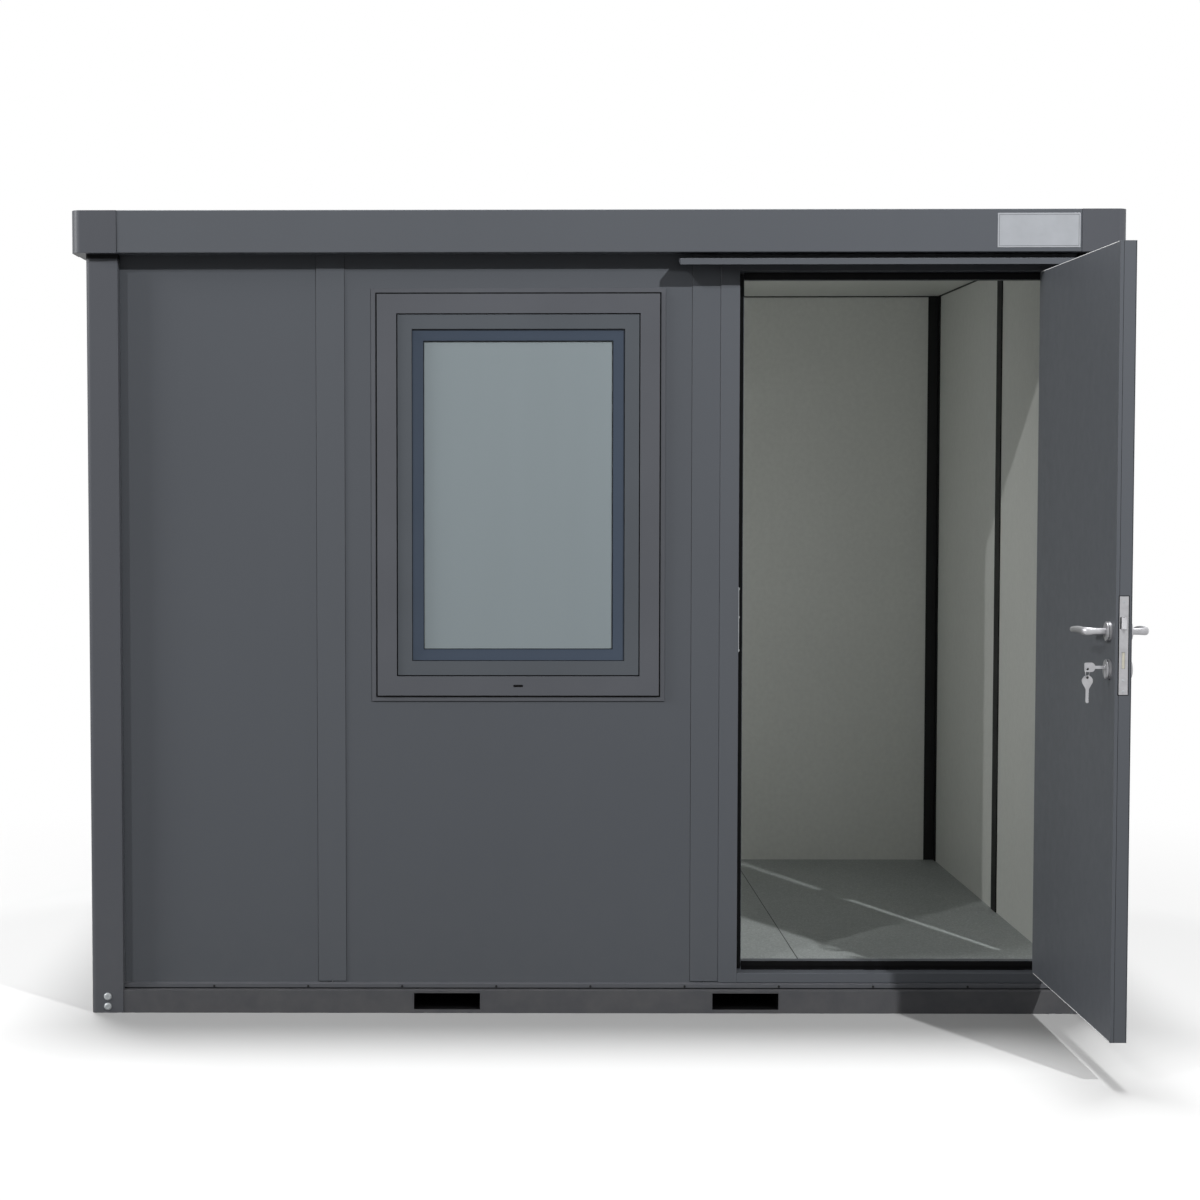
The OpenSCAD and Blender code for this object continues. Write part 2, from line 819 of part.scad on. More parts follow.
// Lower half of each hinge, with its pin, on the frame
module frame_hinges() {
    pin_short = 5;
    pin_rise = hinge_h / 2 - pin_short;
    color(anthracite_light)
    for (z = hinge_zs)
        union() {
            translate([pin_x, pin_y, z - hinge_h / 2]) cylinder(r = knuckle_r, h = hinge_h / 2);
            translate([pin_x, pin_y, z - eps]) cylinder(r = pin_r, h = pin_rise + eps);
            block([pin_x, pin_x + hinge_plate_l], [door_y - hinge_plate_t, door_y],
                [z - hinge_h / 2, z]);
        }
}

// Upper half of each hinge, on the leaf
module leaf_hinges() {
    gap = 0.5;
    cap = 2;
    color(anthracite_light)
    opened()
    for (z = hinge_zs)
        difference() {
            union() {
                translate([pin_x, pin_y, z + gap]) cylinder(r = knuckle_r, h = hinge_h / 2 - gap);
                block([pin_x - hinge_plate_l, pin_x], [door_y - hinge_plate_t, door_y],
                    [z + gap, z + hinge_h / 2]);
            }
            translate([pin_x, pin_y, z - eps]) cylinder(r = pin_r + pin_fit, h = hinge_h / 2 + eps - cap);
        }
}

module label_plate() {
    x1 = roof_x - corner_block_l - label_inset;
    z0 = eave_z + (roof_beam_h - label_h) / 2;
    color(label_grey)
    block([x1 - label_w, x1], [-roof_y + corner_block_proud - label_t, -roof_y + corner_block_proud],
        [z0, z0 + label_h]);
}

// Outline of a lock cylinder: a round barrel over a narrow tail
module cylinder_outline(grow) {
    union() {
        circle(cylinder_r + grow);
        translate([-cylinder_tail_w / 2 - grow, -cylinder_tail_h - grow])
        square([cylinder_tail_w + 2 * grow, cylinder_tail_h + grow]);
    }
}

module cylinder_body(y, grow) {
    translate([lock_x, y[1], cylinder_z])
    rotate([90, 0, 0])
    linear_extrude(y[1] - y[0])
    cylinder_outline(grow);
}

module door_leaf() {
    bolt_room = latch_throw + latch_l + latch_slack;
    color(anthracite)
    opened()
    difference() {
        block([leaf_x0, leaf_x1], [door_y, leaf_y1], [leaf_z0, leaf_z1]);
        bar_y(lock_x, lever_z, [door_y - eps, leaf_y1 + eps], spindle_hole_r);
        cylinder_body([door_y - eps, leaf_y1 + eps], lock_fit);
        block([leaf_x0 - eps, leaf_x0 + forend_t], [lock_y - forend_w / 2, lock_y + forend_w / 2],
            [forend_z - forend_h / 2, forend_z + forend_h / 2]);
        block([leaf_x0 - eps, leaf_x0 + bolt_room],
            [lock_y - latch_t / 2 - latch_fit, lock_y + latch_t / 2 + latch_fit],
            [latch_z - latch_h / 2 - latch_fit, latch_z + latch_h / 2 + latch_fit]);
    }
}

module lock_forend() {
    color(nickel)
    opened()
    difference() {
        block([leaf_x0, leaf_x0 + forend_t], [lock_y - forend_w / 2, lock_y + forend_w / 2],
            [forend_z - forend_h / 2, forend_z + forend_h / 2]);
        block([leaf_x0 - eps, leaf_x0 + forend_t + eps],
            [lock_y - latch_t / 2 - latch_fit, lock_y + latch_t / 2 + latch_fit],
            [latch_z - latch_h / 2 - latch_fit, latch_z + latch_h / 2 + latch_fit]);
        block([leaf_x0 - eps, leaf_x0 + forend_t + eps],
            [lock_y - bolt_slot_w / 2, lock_y + bolt_slot_w / 2],
            [bolt_slot_z - bolt_slot_h / 2, bolt_slot_z + bolt_slot_h / 2]);
    }
}

// A rose round the spindle and one round the cylinder, on both faces of the leaf
module lock_roses() {
    color(nickel)
    opened()
    for (y = [[door_y - rose_t, door_y], [leaf_y1, leaf_y1 + rose_t]]) {
        difference() {
            bar_y(lock_x, lever_z, y, rose_r);
            bar_y(lock_x, lever_z, [y[0] - eps, y[1] + eps], lever_r + lock_fit);
        }
        difference() {
            bar_y(lock_x, cylinder_z - cylinder_rose_drop, y, rose_r);
            cylinder_body([y[0] - eps, y[1] + eps], lock_fit);
        }
    }
}

module lock_cylinder() {
    color(nickel)
    opened()
    cylinder_body([door_y - cylinder_proud, leaf_y1 + cylinder_proud], 0);
}

// A flat key in the Y-Z plane: the blade runs to -Y, the bow lies towards +Y with a hole for the ring
module key(blade, bow_r) {
    translate([-key_t / 2, 0, 0])
    rotate([90, 0, 90])
    linear_extrude(key_t)
    difference() {
        union() {
            translate([-blade - key_neck, -key_blade_w / 2]) square([blade + 2 * key_neck, key_blade_w]);
            translate([bow_r, 0]) circle(bow_r);
        }
        translate([key_hole_share * bow_r, 0]) circle(key_hole_r);
    }
}

// One key in the cylinder on the inner face, and a spare that hangs from it on a ring
module keys() {
    shown_blade = 13;
    bow_y = leaf_y1 + cylinder_proud + lock_fit + shown_blade + key_neck;
    hole_y = bow_y + key_hole_share * key_bow_r;
    slack = key_hole_r - key_wire_r - lock_fit;
    ring_z = cylinder_z - slack - key_ring_r;
    spare_z = ring_z - key_ring_r - slack - key_hole_share * spare_bow_r;
    color(nickel)
    opened() {
        translate([lock_x, bow_y, cylinder_z]) key(shown_blade, key_bow_r);
        translate([lock_x, hole_y, ring_z])
        rotate([90, 0, 0])
        rotate_extrude()
        translate([key_ring_r, 0])
        circle(key_wire_r, $fn = 24);
        translate([lock_x, hole_y, spare_z]) rotate([90, 0, 0]) key(spare_blade, spare_bow_r);
    }
}

// Half of the lever set: a neck out of the leaf, a quarter bend and a bar towards the hinge side
module lever_half() {
    bend_r = 14;
    neck = lever_standoff - bend_r;
    rotate([-90, 0, 0]) cylinder(r = lever_r, h = neck);
    translate([bend_r, neck, 0])
    rotate([0, 0, 90])
    rotate_extrude(angle = 90)
    translate([bend_r, 0])
    circle(lever_r);
    translate([bend_r, lever_standoff, 0]) rotate([0, 90, 0]) cylinder(r = lever_r, h = lever_l - bend_r);
    translate([lever_l, lever_standoff, 0]) sphere(lever_r);
}

module lever_handle() {
    color(nickel)
    opened()
    union() {
        bar_y(lock_x, lever_z, [door_y - lever_r, leaf_y1 + lever_r], spindle_r);
        translate([lock_x, leaf_y1, lever_z]) lever_half();
        translate([lock_x, door_y, lever_z]) mirror([0, 1, 0]) lever_half();
    }
}

// The latch bolt, bevelled on the side that meets the frame as the door closes
module latch_bolt() {
    nose = 2;
    toe = 1;
    color(nickel)
    opened()
    translate([leaf_x0, lock_y, latch_z - latch_h / 2])
    linear_extrude(latch_h)
    polygon([[-latch_throw, -latch_t / 2], [-latch_throw, -latch_t / 2 + nose], [-toe, latch_t / 2],
        [latch_l, latch_t / 2], [latch_l, -latch_t / 2]]);
}

corner_posts();
base_long_rails();
base_side_rails();
fork_tunnels();
floor_joists();
floor_deck();
floor_covering();
roof_long_beams();
roof_side_beams();
roof_corner_blocks();
roof_sheet();
ceiling_panel();
front_panel_left();
window_panel();
back_panels();
left_panels();
right_panels();
front_joint_strips();
back_joint_strips();
side_joint_strips();
inner_joint_covers();
inner_corner_strips();
sill_trims();
window_trim();
window_frame();
window_sash();
glazing_bead();
window_glass();
door_jamb_lock_side();
door_jamb_hinge_side();
door_head();
door_threshold();
door_seal();
rain_canopy();
strike_plate();
frame_hinges();
label_plate();
door_leaf();
leaf_hinges();
lock_forend();
lock_roses();
lock_cylinder();
keys();
lever_handle();
latch_bolt();
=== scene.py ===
import json
from math import cos, pi, radians, sin

import bmesh
import bpy
from bpy.props import FloatProperty, FloatVectorProperty, PointerProperty
from mathutils import Matrix, Vector

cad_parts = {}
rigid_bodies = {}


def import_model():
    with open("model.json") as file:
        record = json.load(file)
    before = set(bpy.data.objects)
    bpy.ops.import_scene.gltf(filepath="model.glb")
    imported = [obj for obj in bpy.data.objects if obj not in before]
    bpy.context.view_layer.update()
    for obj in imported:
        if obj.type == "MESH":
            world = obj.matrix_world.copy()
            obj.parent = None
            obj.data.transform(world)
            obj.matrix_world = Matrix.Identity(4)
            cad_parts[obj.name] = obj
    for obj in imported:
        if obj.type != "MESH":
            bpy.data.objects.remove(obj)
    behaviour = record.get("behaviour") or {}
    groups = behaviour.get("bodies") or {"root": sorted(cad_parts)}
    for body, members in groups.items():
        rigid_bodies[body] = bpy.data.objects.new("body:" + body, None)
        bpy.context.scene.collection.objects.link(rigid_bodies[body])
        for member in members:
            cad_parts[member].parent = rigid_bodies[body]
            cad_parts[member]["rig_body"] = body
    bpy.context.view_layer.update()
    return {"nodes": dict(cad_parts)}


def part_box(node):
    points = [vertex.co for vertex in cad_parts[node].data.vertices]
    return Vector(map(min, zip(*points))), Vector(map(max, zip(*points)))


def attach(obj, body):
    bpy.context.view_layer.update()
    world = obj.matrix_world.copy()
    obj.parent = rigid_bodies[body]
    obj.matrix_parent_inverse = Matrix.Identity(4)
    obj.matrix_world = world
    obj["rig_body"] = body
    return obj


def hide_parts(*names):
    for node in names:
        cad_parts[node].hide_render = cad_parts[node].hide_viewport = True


bl_info = {
    "name": "Container office",
    "version": (1, 0, 0),
    "blender": (4, 5, 0),
    "location": "3D View > Sidebar > Cabin",
    "description": "Finishes and small parts for a flat-pack container office",
    "category": "Object",
}

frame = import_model()
MM = 0.001
FRONT, BACK = Vector((0, -1, 0)), Vector((0, 1, 0))
LEFT, RIGHT = Vector((-1, 0, 0)), Vector((1, 0, 0))

# A slot with its finish, for small parts that come often
# DARK is black rubber, also used for the dark lines, bands and plates that are painted shade.
DARK = ("rubber", "seal rubber")
SATIN = ("nickel", "satin nickel")
BRIGHT = ("nickel", "bright zinc")

POST_SIDE = 92 * MM
STRIP_WIDTH = 82 * MM
FACING = 0.9  # how far a face has to look along an axis to count as facing it
# PAST_WHITE lifts the painted highlight on the leaf's ends past white.
PAST_WHITE = 1.1  # lifts a white so far that all its tones stay white


# ---------------------------------------------------------------- sizes and colours


def linear(*steps):
    """The linear colour of a finish that is written in steps from 0 to 255."""
    shares = [step / 255 for step in steps]
    return tuple(
        s / 12.92 if s <= 0.04045 else ((s + 0.055) / 1.055) ** 2.4 for s in shares
    )


def colour(name, description, *steps):
    return FloatVectorProperty(
        name=name,
        description=description,
        subtype="COLOR",
        size=3,
        min=0.0,
        max=1.0,
        default=linear(*steps),
    )


def length(name, description, millimetres):
    return FloatProperty(
        name=name,
        description=description,
        unit="LENGTH",
        subtype="DISTANCE",
        precision=4,
        min=0.0,
        default=millimetres * MM,
    )


class CabinColours(bpy.types.PropertyGroup):
    """Colours of the cabin's finishes."""

    fascia: colour("Roof frame", "Coating of the roof frame and canopy", 86, 89, 94)
    post: colour("Posts", "Coating of the corner posts", 81, 83, 88)
    base: colour("Base", "Coating of the base rails", 75, 76, 80)
    wall: colour("Walls", "Coated sheet outside", 82, 85, 90)
    strip: colour("Joint strips", "Coating of the joint strips", 84, 87, 92)
    door: colour("Door", "Coating of the door and its frame", 86, 89, 94)
    trim: colour("Trims", "Coating of the sill trim", 82, 84, 89)
    # The cover colour also paints the shade where the ceiling meets the walls.
    cover: colour("Inner covers", "Dark covers inside the room, and painted shade where the ceiling meets the walls", 26, 27, 27)
    # Edge: a painted highlight, white strips along the leaf's top and bottom ends.
    edge: colour("Bare edge", "White strips painted as a highlight on the leaf's ends", 255, 255, 255)
    lining: colour("Lining", "Coated sheet inside the room", 222, 224, 219)
    vinyl: colour("Floor covering", "Sheet vinyl", 158, 163, 162)
    window: colour("Window frame", "Foil of the window's frame", 84, 86, 91)
    sash: colour("Window sash", "Foil of the window's sash", 80, 84, 89)
    bead: colour("Glazing bead", "Bead that holds the glass", 60, 69, 82)
    # The glass colour is painted reflection: a pale body in place of what the glass mirrors.
    glass: colour("Glass", "Pale tone of the glass, painted reflection", 134, 144, 148)
    zinc: colour("Zinc", "Galvanised sheet and joists", 142, 145, 147)
    plywood: colour("Plywood", "Floor deck", 158, 128, 88)
    # The rubber colour also paints the shade in gaps, slots, folds and the tunnels.
    rubber: colour("Rubber", "Door seal, window gasket and painted shade", 10, 10, 11)
    nickel: colour("Nickel", "Lock, lever and keys", 178, 178, 181)
    bolt: colour("Deadbolt", "End of the deadbolt", 196, 193, 178)
    plate: colour("Label plate", "Blank plate on the roof frame", 160, 163, 168)


class CabinSizes(bpy.types.PropertyGroup):
    """Sizes of the small parts."""

    soft_edge: length("Folded edges", "Rounding of the folded steel edges", 2.0)
    fine_edge: length("Fine edges", "Rounding of strips and trims", 0.8)
    bolt_head: length("Bolt head", "Radius of a bolt head at the posts' feet", 11.5)
    sill_screw: length("Sill screw", "Radius of a screw head in the sill trim", 3.6)
    sill_pitch: length("Sill screw pitch", "Distance between sill screws", 276.0)
    lock_screw: length("Lock screw", "Radius of a screw head at the lock", 3.6)
    outer_lever: FloatProperty(
        name="Outer lever",
        description="Reach of the outer lever as a share of the inner one",
        default=0.86,
        min=0.5,
        max=1.0,
    )
    seam_pitch: length("Roof seam pitch", "Distance between roof seams", 470.0)
    seam_height: length("Roof seam height", "Height of a roof seam", 13.0)
    joint_line: length("Floor joint", "Width of a joint in the floor covering", 2.4)


class CabinStage(bpy.types.PropertyGroup):
    """Floor, light and camera."""

    lens: FloatProperty(
        name="Lens",
        description="Focal length of the camera",
        unit="CAMERA",
        default=73.67,
    )
    camera_place: FloatVectorProperty(
        name="Camera",
        description="Place of the camera",
        subtype="TRANSLATION",
        unit="LENGTH",
        size=3,
        default=(-0.29927, -8.21538, 1.53713),
    )
    camera_turn: FloatVectorProperty(
        name="Camera turn",
        description="Turn to the right, tilt down and roll",
        subtype="EULER",
        unit="ROTATION",
        size=3,
        default=(-0.00944, 0.05361, 0.00062),
    )
    shift: FloatVectorProperty(
        name="Shift",
        description="Shift of the lens",
        size=2,
        default=(0.10786, 0.01569),
    )
    fill: FloatProperty(
        name="Fill",
        description="Strength of the light from all round",
        min=0.0,
        default=0.05,
    )


# ---------------------------------------------------------------- finishes


def cleared_tree(owner):
    """The node tree of a material or world, with nothing in it."""
    owner.use_nodes = True
    owner.node_tree.nodes.clear()
    return owner.node_tree


def toned(rgb, factor):
    return tuple(min(1.0, c * factor) for c in rgb)


class Nodes:
    """A node tree under construction."""

    def __init__(self, tree):
        self.tree = tree

    def add(self, kind, feeds=None, **settings):
        """A new node's outputs. Each input is fed by a value or by another node's output."""
        node = self.tree.nodes.new(kind)
        for key, value in settings.items():
            setattr(node, key, value)
        for key, value in (feeds or {}).items():
            socket = node.inputs[key]
            if isinstance(value, bpy.types.NodeSocket):
                self.tree.links.new(value, socket)
            elif socket.type == "RGBA":
                socket.default_value = (*value, 1.0)
            else:
                socket.default_value = value
        return node.outputs

    def maths(self, how, first, second):
        return self.add("ShaderNodeMath", {0: first, 1: second}, operation=how)[0]

    def ranged(self, value, low, high, to_low, to_high):
        feeds = {"Value": value, "From Min": low, "From Max": high}
        feeds.update({"To Min": to_low, "To Max": to_high})
        return self.add("ShaderNodeMapRange", feeds)[0]

    def seen(self):
        """One where a surface is seen straight on, in a mirror or through glass."""
        path = self.add("ShaderNodeLightPath")
        either = self.maths("MAXIMUM", path["Is Camera Ray"], path["Is Glossy Ray"])
        return self.maths("MAXIMUM", either, path["Is Transmission Ray"])


class Finish(Nodes):
    """One procedural finish on Object coordinates."""

    def __init__(self, name):
        self.material = bpy.data.materials.new(name)
        super().__init__(cleared_tree(self.material))
        self.shader = self.tree.nodes.new("ShaderNodeBsdfPrincipled")
        self.add("ShaderNodeOutputMaterial", {"Surface": self.shader.outputs[0]})
        self.place = self.add("ShaderNodeTexCoord")["Object"]

    def mapped(self, *scale):
        return self.add("ShaderNodeMapping", {"Vector": self.place, "Scale": scale})[0]

    def noise(self, scale, detail=3.0, rough=0.5, vector=None, warp=0.0):
        feeds = {"Vector": vector or self.place, "Scale": scale, "Detail": detail}
        feeds.update({"Roughness": rough, "Distortion": warp})
        return self.add("ShaderNodeTexNoise", feeds)[0]

    def cells(self, scale):
        """Separate random greys for the cells of a broken-up surface."""
        cells = self.add("ShaderNodeTexVoronoi", {"Vector": self.place, "Scale": scale})
        return self.add("ShaderNodeSeparateColor", {0: cells["Color"]})

    def spread(self, noise, to_low=0.0, to_high=1.0):
        """A noise, which keeps to its middle, spread between two values."""
        return self.ranged(noise, 0.3, 0.7, to_low, to_high)

    def sum(self, first, second):
        return self.maths("ADD", first, second)

    def mixed(self, share, first, second):
        return self.add("ShaderNodeMix", {0: share, 6: first, 7: second}, data_type="RGBA")[2]

    def toned_mix(self, share, rgb, dark, light):
        return self.mixed(share, toned(rgb, dark), toned(rgb, light))

    def finished(self, base, rough, height=None, depth=0.0, strength=0.6, **values):
        """Joins colour, roughness, relief and plain values to the shader."""
        inputs = self.shader.inputs
        self.tree.links.new(base, inputs["Base Color"])
        self.tree.links.new(rough, inputs["Roughness"])
        if height:
            feeds = {"Strength": strength, "Distance": depth, "Height": height}
            self.tree.links.new(self.add("ShaderNodeBump", feeds)[0], inputs["Normal"])
        for key, value in values.items():
            inputs[key.replace("_", " ").title().replace("Ior", "IOR")].default_value = value
        return self.material


def coat_finish(name, rgb, rough=0.46, dust=0.0):
    """Satin coated steel: slow tones, a fine fleck, orange peel and a little dust low down."""
    f = Finish(name)
    streaks = f.noise(1.0, 3.0, 0.6, f.mapped(9.0, 9.0, 0.7))
    tone = f.sum(f.spread(f.noise(1.6, 2.0), -0.5, 0.5), f.spread(streaks, -0.35, 0.35))
    tone = f.sum(tone, f.spread(f.noise(900.0, 1.0), -0.5, 0.5))
    base = f.toned_mix(f.ranged(tone, -1.2, 1.2, 0.0, 1.0), rgb, 0.97, 1.03)
    if dust:
        dust_colour, dust_height = (0.22, 0.21, 0.195), 0.45
        height = f.add("ShaderNodeSeparateXYZ", {0: f.place})[2]
        low = f.ranged(height, 0.0, dust_height, dust, 0.0)
        cloud = f.ranged(f.noise(14.0, 4.0, 0.6), 0.35, 0.7, 0.3, 1.0)
        base = f.mixed(f.maths("MULTIPLY", low, cloud), base, dust_colour)
    roughness = f.spread(f.noise(24.0, 4.0, 0.6), rough - 0.03, rough + 0.04)
    return f.finished(base, roughness, f.noise(420.0, 2.0), 0.00004, specular_ior_level=0.2)


def scuffs_and_painted_light_finish(name, rgb):
    """Coated steel with the fine scuffs and specks of a corner that is knocked in handling; their
    lighter tone is also painted light, for the lighter look of the rounded corners.
    """
    f = Finish(name)
    speck = f.ranged(f.noise(260.0, 2.0, 0.7), 0.62, 0.72, 0.0, 0.5)
    scuff = f.noise(5.0, 5.0, 0.75, f.mapped(9.0, 9.0, 1.2))
    scuff = f.ranged(scuff, 0.56, 0.74, 0.0, 0.35)
    base = f.toned_mix(f.spread(f.noise(3.0)), rgb, 0.95, 1.06)
    base = f.mixed(f.maths("MAXIMUM", speck, scuff), base, toned(rgb, 1.65))
    rough = f.ranged(scuff, 0.0, 0.35, 0.44, 0.6)
    return f.finished(base, rough, f.noise(420.0, 2.0), 0.00005, specular_ior_level=0.3)


def lining_finish(name, rgb):
    """Pale coated sheet with a very light emboss."""
    f = Finish(name)
    share = f.ranged(f.sum(f.noise(1.3), f.noise(60.0, 2.0)), 0.7, 1.3, 0.0, 1.0)
    base, rough = f.toned_mix(share, rgb, 0.95, 1.03), f.spread(f.noise(30.0), 0.42, 0.52)
    return f.finished(base, rough, f.noise(260.0, 2.0, 0.6), 0.00008, 0.7)


def vinyl_finish(name, rgb):
    """Sheet vinyl: chips in three greys under a matt wear layer, with soft tracks of use."""
    f = Finish(name)
    chips = f.cells(240.0)
    base = f.toned_mix(chips[0], rgb, 0.8, 1.16)
    base = f.mixed(f.ranged(chips[1], 0.86, 0.9, 0.0, 0.5), base, toned(rgb, 1.6))
    tracks = f.noise(1.0, 4.0, 0.6, f.mapped(2.5, 1.1, 1.0))
    base = f.mixed(f.ranged(tracks, 0.35, 0.7, 0.0, 0.22), base, toned(rgb, 0.7))
    rough = f.spread(tracks, 0.42, 0.56)
    return f.finished(base, rough, f.noise(700.0, 2.0, 0.6), 0.00006, 0.7)


def zinc_finish(name, rgb, spangle=55.0, rough=0.74, metallic=0.3):
    """Galvanised steel with a spangle of zinc crystals."""
    f = Finish(name)
    crystals = f.cells(spangle)
    cloud = f.spread(f.noise(3.0, 4.0, 0.6), 0.0, 0.4)
    share = f.sum(f.ranged(crystals[0], 0.0, 1.0, 0.0, 0.6), cloud)
    base = f.toned_mix(share, rgb, 0.78, 1.18)
    roughness = f.ranged(crystals[1], 0.0, 1.0, rough - 0.1, rough + 0.1)
    return f.finished(base, roughness, crystals[0], 0.00003, 0.4, metallic=metallic)


def plywood_finish(name, rgb):
    """Sealed plywood with grain along the cabin."""
    f = Finish(name)
    grain = f.noise(6.0, 6.0, 0.65, f.mapped(1.2, 26.0, 26.0), 1.2)
    pores = f.noise(40.0, 3.0, 0.5, f.mapped(2.0, 60.0, 60.0))
    base = f.toned_mix(f.spread(grain), rgb, 0.7, 1.15)
    base = f.mixed(f.ranged(pores, 0.6, 0.75, 0.0, 0.5), base, toned(rgb, 0.45))
    return f.finished(base, f.spread(grain, 0.5, 0.68), grain, 0.0002, 0.5)


def foil_finish(name, rgb, rough=0.4, gloss=0.22, grained=True):
    """Window foil with a fine even grain."""
    f = Finish(name)
    base = f.toned_mix(f.spread(f.noise(3.0)), rgb, 0.95, 1.06)
    roughness = f.spread(f.noise(18.0), rough - 0.04, rough + 0.06)
    grain = f.noise(1400.0, 2.0, 0.6) if grained else None
    return f.finished(base, roughness, grain, 0.00003, specular_ior_level=gloss)


def glass_finish(name, rgb):
    """Double glazing with a pale grey body that lets part of the light through; the pale tone and its
    vertical bands are painted reflection.
    """
    f = Finish(name)
    reflection_cloud = f.noise(0.9, 3.0, 0.5, f.mapped(1.8, 1.0, 0.5))
    reflection_bands = f.noise(1.0, 2.0, 0.5, f.mapped(7.0, 1.0, 0.6))
    share = f.sum(f.spread(reflection_cloud, 0.0, 0.6), f.spread(reflection_bands, 0.0, 0.4))
    base, rough = f.toned_mix(share, rgb, 0.97, 1.04), f.spread(reflection_cloud, 0.2, 0.28)
    through = {"transmission_weight": 0.12, "ior": 1.45, "specular_ior_level": 0.4}
    return f.finished(base, rough, **through)


def rubber_finish(name, rgb):
    """Black rubber with a faint grey bloom."""
    f = Finish(name)
    bloom = f.ranged(f.noise(40.0, 4.0, 0.6), 0.35, 0.7, 0.0, 1.0)
    base, rough = f.toned_mix(bloom, rgb, 0.7, 1.8), f.ranged(bloom, 0.0, 1.0, 0.6, 0.75)
    height = f.noise(900.0, 2.0, 0.6)
    return f.finished(base, rough, height, 0.00005, specular_ior_level=0.12)


def nickel_finish(name, rgb, rough=0.36):
    """Satin nickel: fine brushing and a slight change of tone."""
    f = Finish(name)
    brushing = f.noise(90.0, 3.0, 0.6, f.mapped(1.0, 1.0, 30.0))
    base = f.toned_mix(f.spread(f.noise(60.0)), rgb, 0.9, 1.06)
    roughness = f.spread(brushing, rough - 0.07, rough + 0.08)
    return f.finished(base, roughness, brushing, 0.00001, 0.3, metallic=0.6)


def plate_finish(name, rgb):
    """A plain printed plate."""
    f = Finish(name)
    base = f.toned_mix(f.spread(f.noise(22.0, 4.0, 0.6)), rgb, 0.95, 1.04)
    rough = f.spread(f.noise(90.0), 0.34, 0.44)
    return f.finished(base, rough, f.noise(600.0, 2.0), 0.00003, 0.5)


def finish(name):
    """A finish by its name, made when it is first asked for."""
    full_name = "cabin " + name
    made = bpy.data.materials.get(full_name)
    if made:
        return made
    c = bpy.context.scene.cabin_colours
    maker, *values = {
        "roof frame coat": (coat_finish, c.fascia),
        "corner block coat": (scuffs_and_painted_light_finish, c.post),
        "post coat": (coat_finish, c.post, 0.46, 0.1),
        "base coat": (coat_finish, c.base, 0.46, 0.18),
        "wall coat": (coat_finish, c.wall, 0.46, 0.05),
        "strip coat": (coat_finish, c.strip, 0.46, 0.05),
        "door coat": (coat_finish, c.door, 0.44),
        "trim coat": (coat_finish, c.trim, 0.46, 0.12),
        "dark cover": (coat_finish, c.cover, 0.5),
        "bare edge": (coat_finish, Vector(c.edge) * PAST_WHITE, 0.4),
        "room lining": (lining_finish, c.lining),
        "floor vinyl": (vinyl_finish, c.vinyl),
        "zinc sheet": (zinc_finish, c.zinc),
        "bright zinc": (zinc_finish, toned(c.zinc, 1.7), 160.0, 0.42, 0.6),
        "deck plywood": (plywood_finish, c.plywood),
        "window foil": (foil_finish, c.window),
        "sash foil": (foil_finish, c.sash),
        "bead plastic": (foil_finish, c.bead, 0.42, 0.24, False),
        "hazy glass": (glass_finish, c.glass),
        "seal rubber": (rubber_finish, c.rubber),
        "satin nickel": (nickel_finish, c.nickel),
        "deadbolt metal": (nickel_finish, c.bolt, 0.45),
        "blank plate": (plate_finish, c.plate),
        "plate border": (plate_finish, toned(c.plate, 0.3)),
    }[name]
    return maker(full_name, *values)


# ---------------------------------------------------------------- mesh helpers


def object_from(data, name):
    piece = bpy.data.objects.new(name, data)
    bpy.context.scene.collection.objects.link(piece)
    return piece


def evaluated_mesh(piece):
    """The piece's mesh with its modifiers worked in."""
    bpy.context.view_layer.update()
    graph = bpy.context.evaluated_depsgraph_get()
    return bpy.data.meshes.new_from_object(piece.evaluated_get(graph), depsgraph=graph)


def soften(piece, width):
    """Rounds the piece's edges, keeps its flats flat and makes the result a plain mesh."""
    sharp = radians(32)
    piece.data.shade_smooth()
    piece.data.set_sharp_from_angle(angle=sharp)
    if width:
        bevel = piece.modifiers.new("edges", "BEVEL")
        bevel.width = width
        bevel.segments = 2
        bevel.limit_method = "ANGLE"
        bevel.angle_limit = sharp
        bevel.use_clamp_overlap = True
        bevel.harden_normals = False
    normals = piece.modifiers.new("normals", "WEIGHTED_NORMAL")
    normals.keep_sharp = True
    result = evaluated_mesh(piece)
    piece.modifiers.clear()
    piece.data = result
    result.name = piece.name


def settle(piece, body, slot, *nodes):
    """The piece rides on its body, and stands for the CAD nodes."""
    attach(piece, body)
    if nodes:
        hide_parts(*nodes)
    return piece


def cleaned_copy(node):
    """A merged copy of a CAD node's mesh with whole flat faces."""
    mesh = frame["nodes"][node].data.copy()
    mesh.materials.clear()
    shape = bmesh.new()
    shape.from_mesh(mesh)
    bmesh.ops.remove_doubles(shape, verts=shape.verts, dist=0.02 * MM)
    bmesh.ops.dissolve_limit(
        shape, angle_limit=radians(0.5), verts=shape.verts, edges=shape.edges
    )
    shape.to_mesh(mesh)
    shape.free()
    return mesh


def finished_copy(node, slot, coat, width, second_coat=None, is_second=None):
    """A CAD node's shape with rounded edges. is_second says which faces take the second coat."""
    piece = object_from(cleaned_copy(node), node + "_finished")
    piece.data.materials.append(finish(coat))
    if second_coat:
        piece.data.materials.append(finish(second_coat))
        for face in piece.data.polygons:
            face.material_index = int(is_second(face.center, face.normal))
    soften(piece, width)
    return settle(piece, frame["nodes"][node]["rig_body"], slot, node)


def copies(slot, coat, width, *nodes):
    for node in nodes:
        finished_copy(node, slot, coat, width)


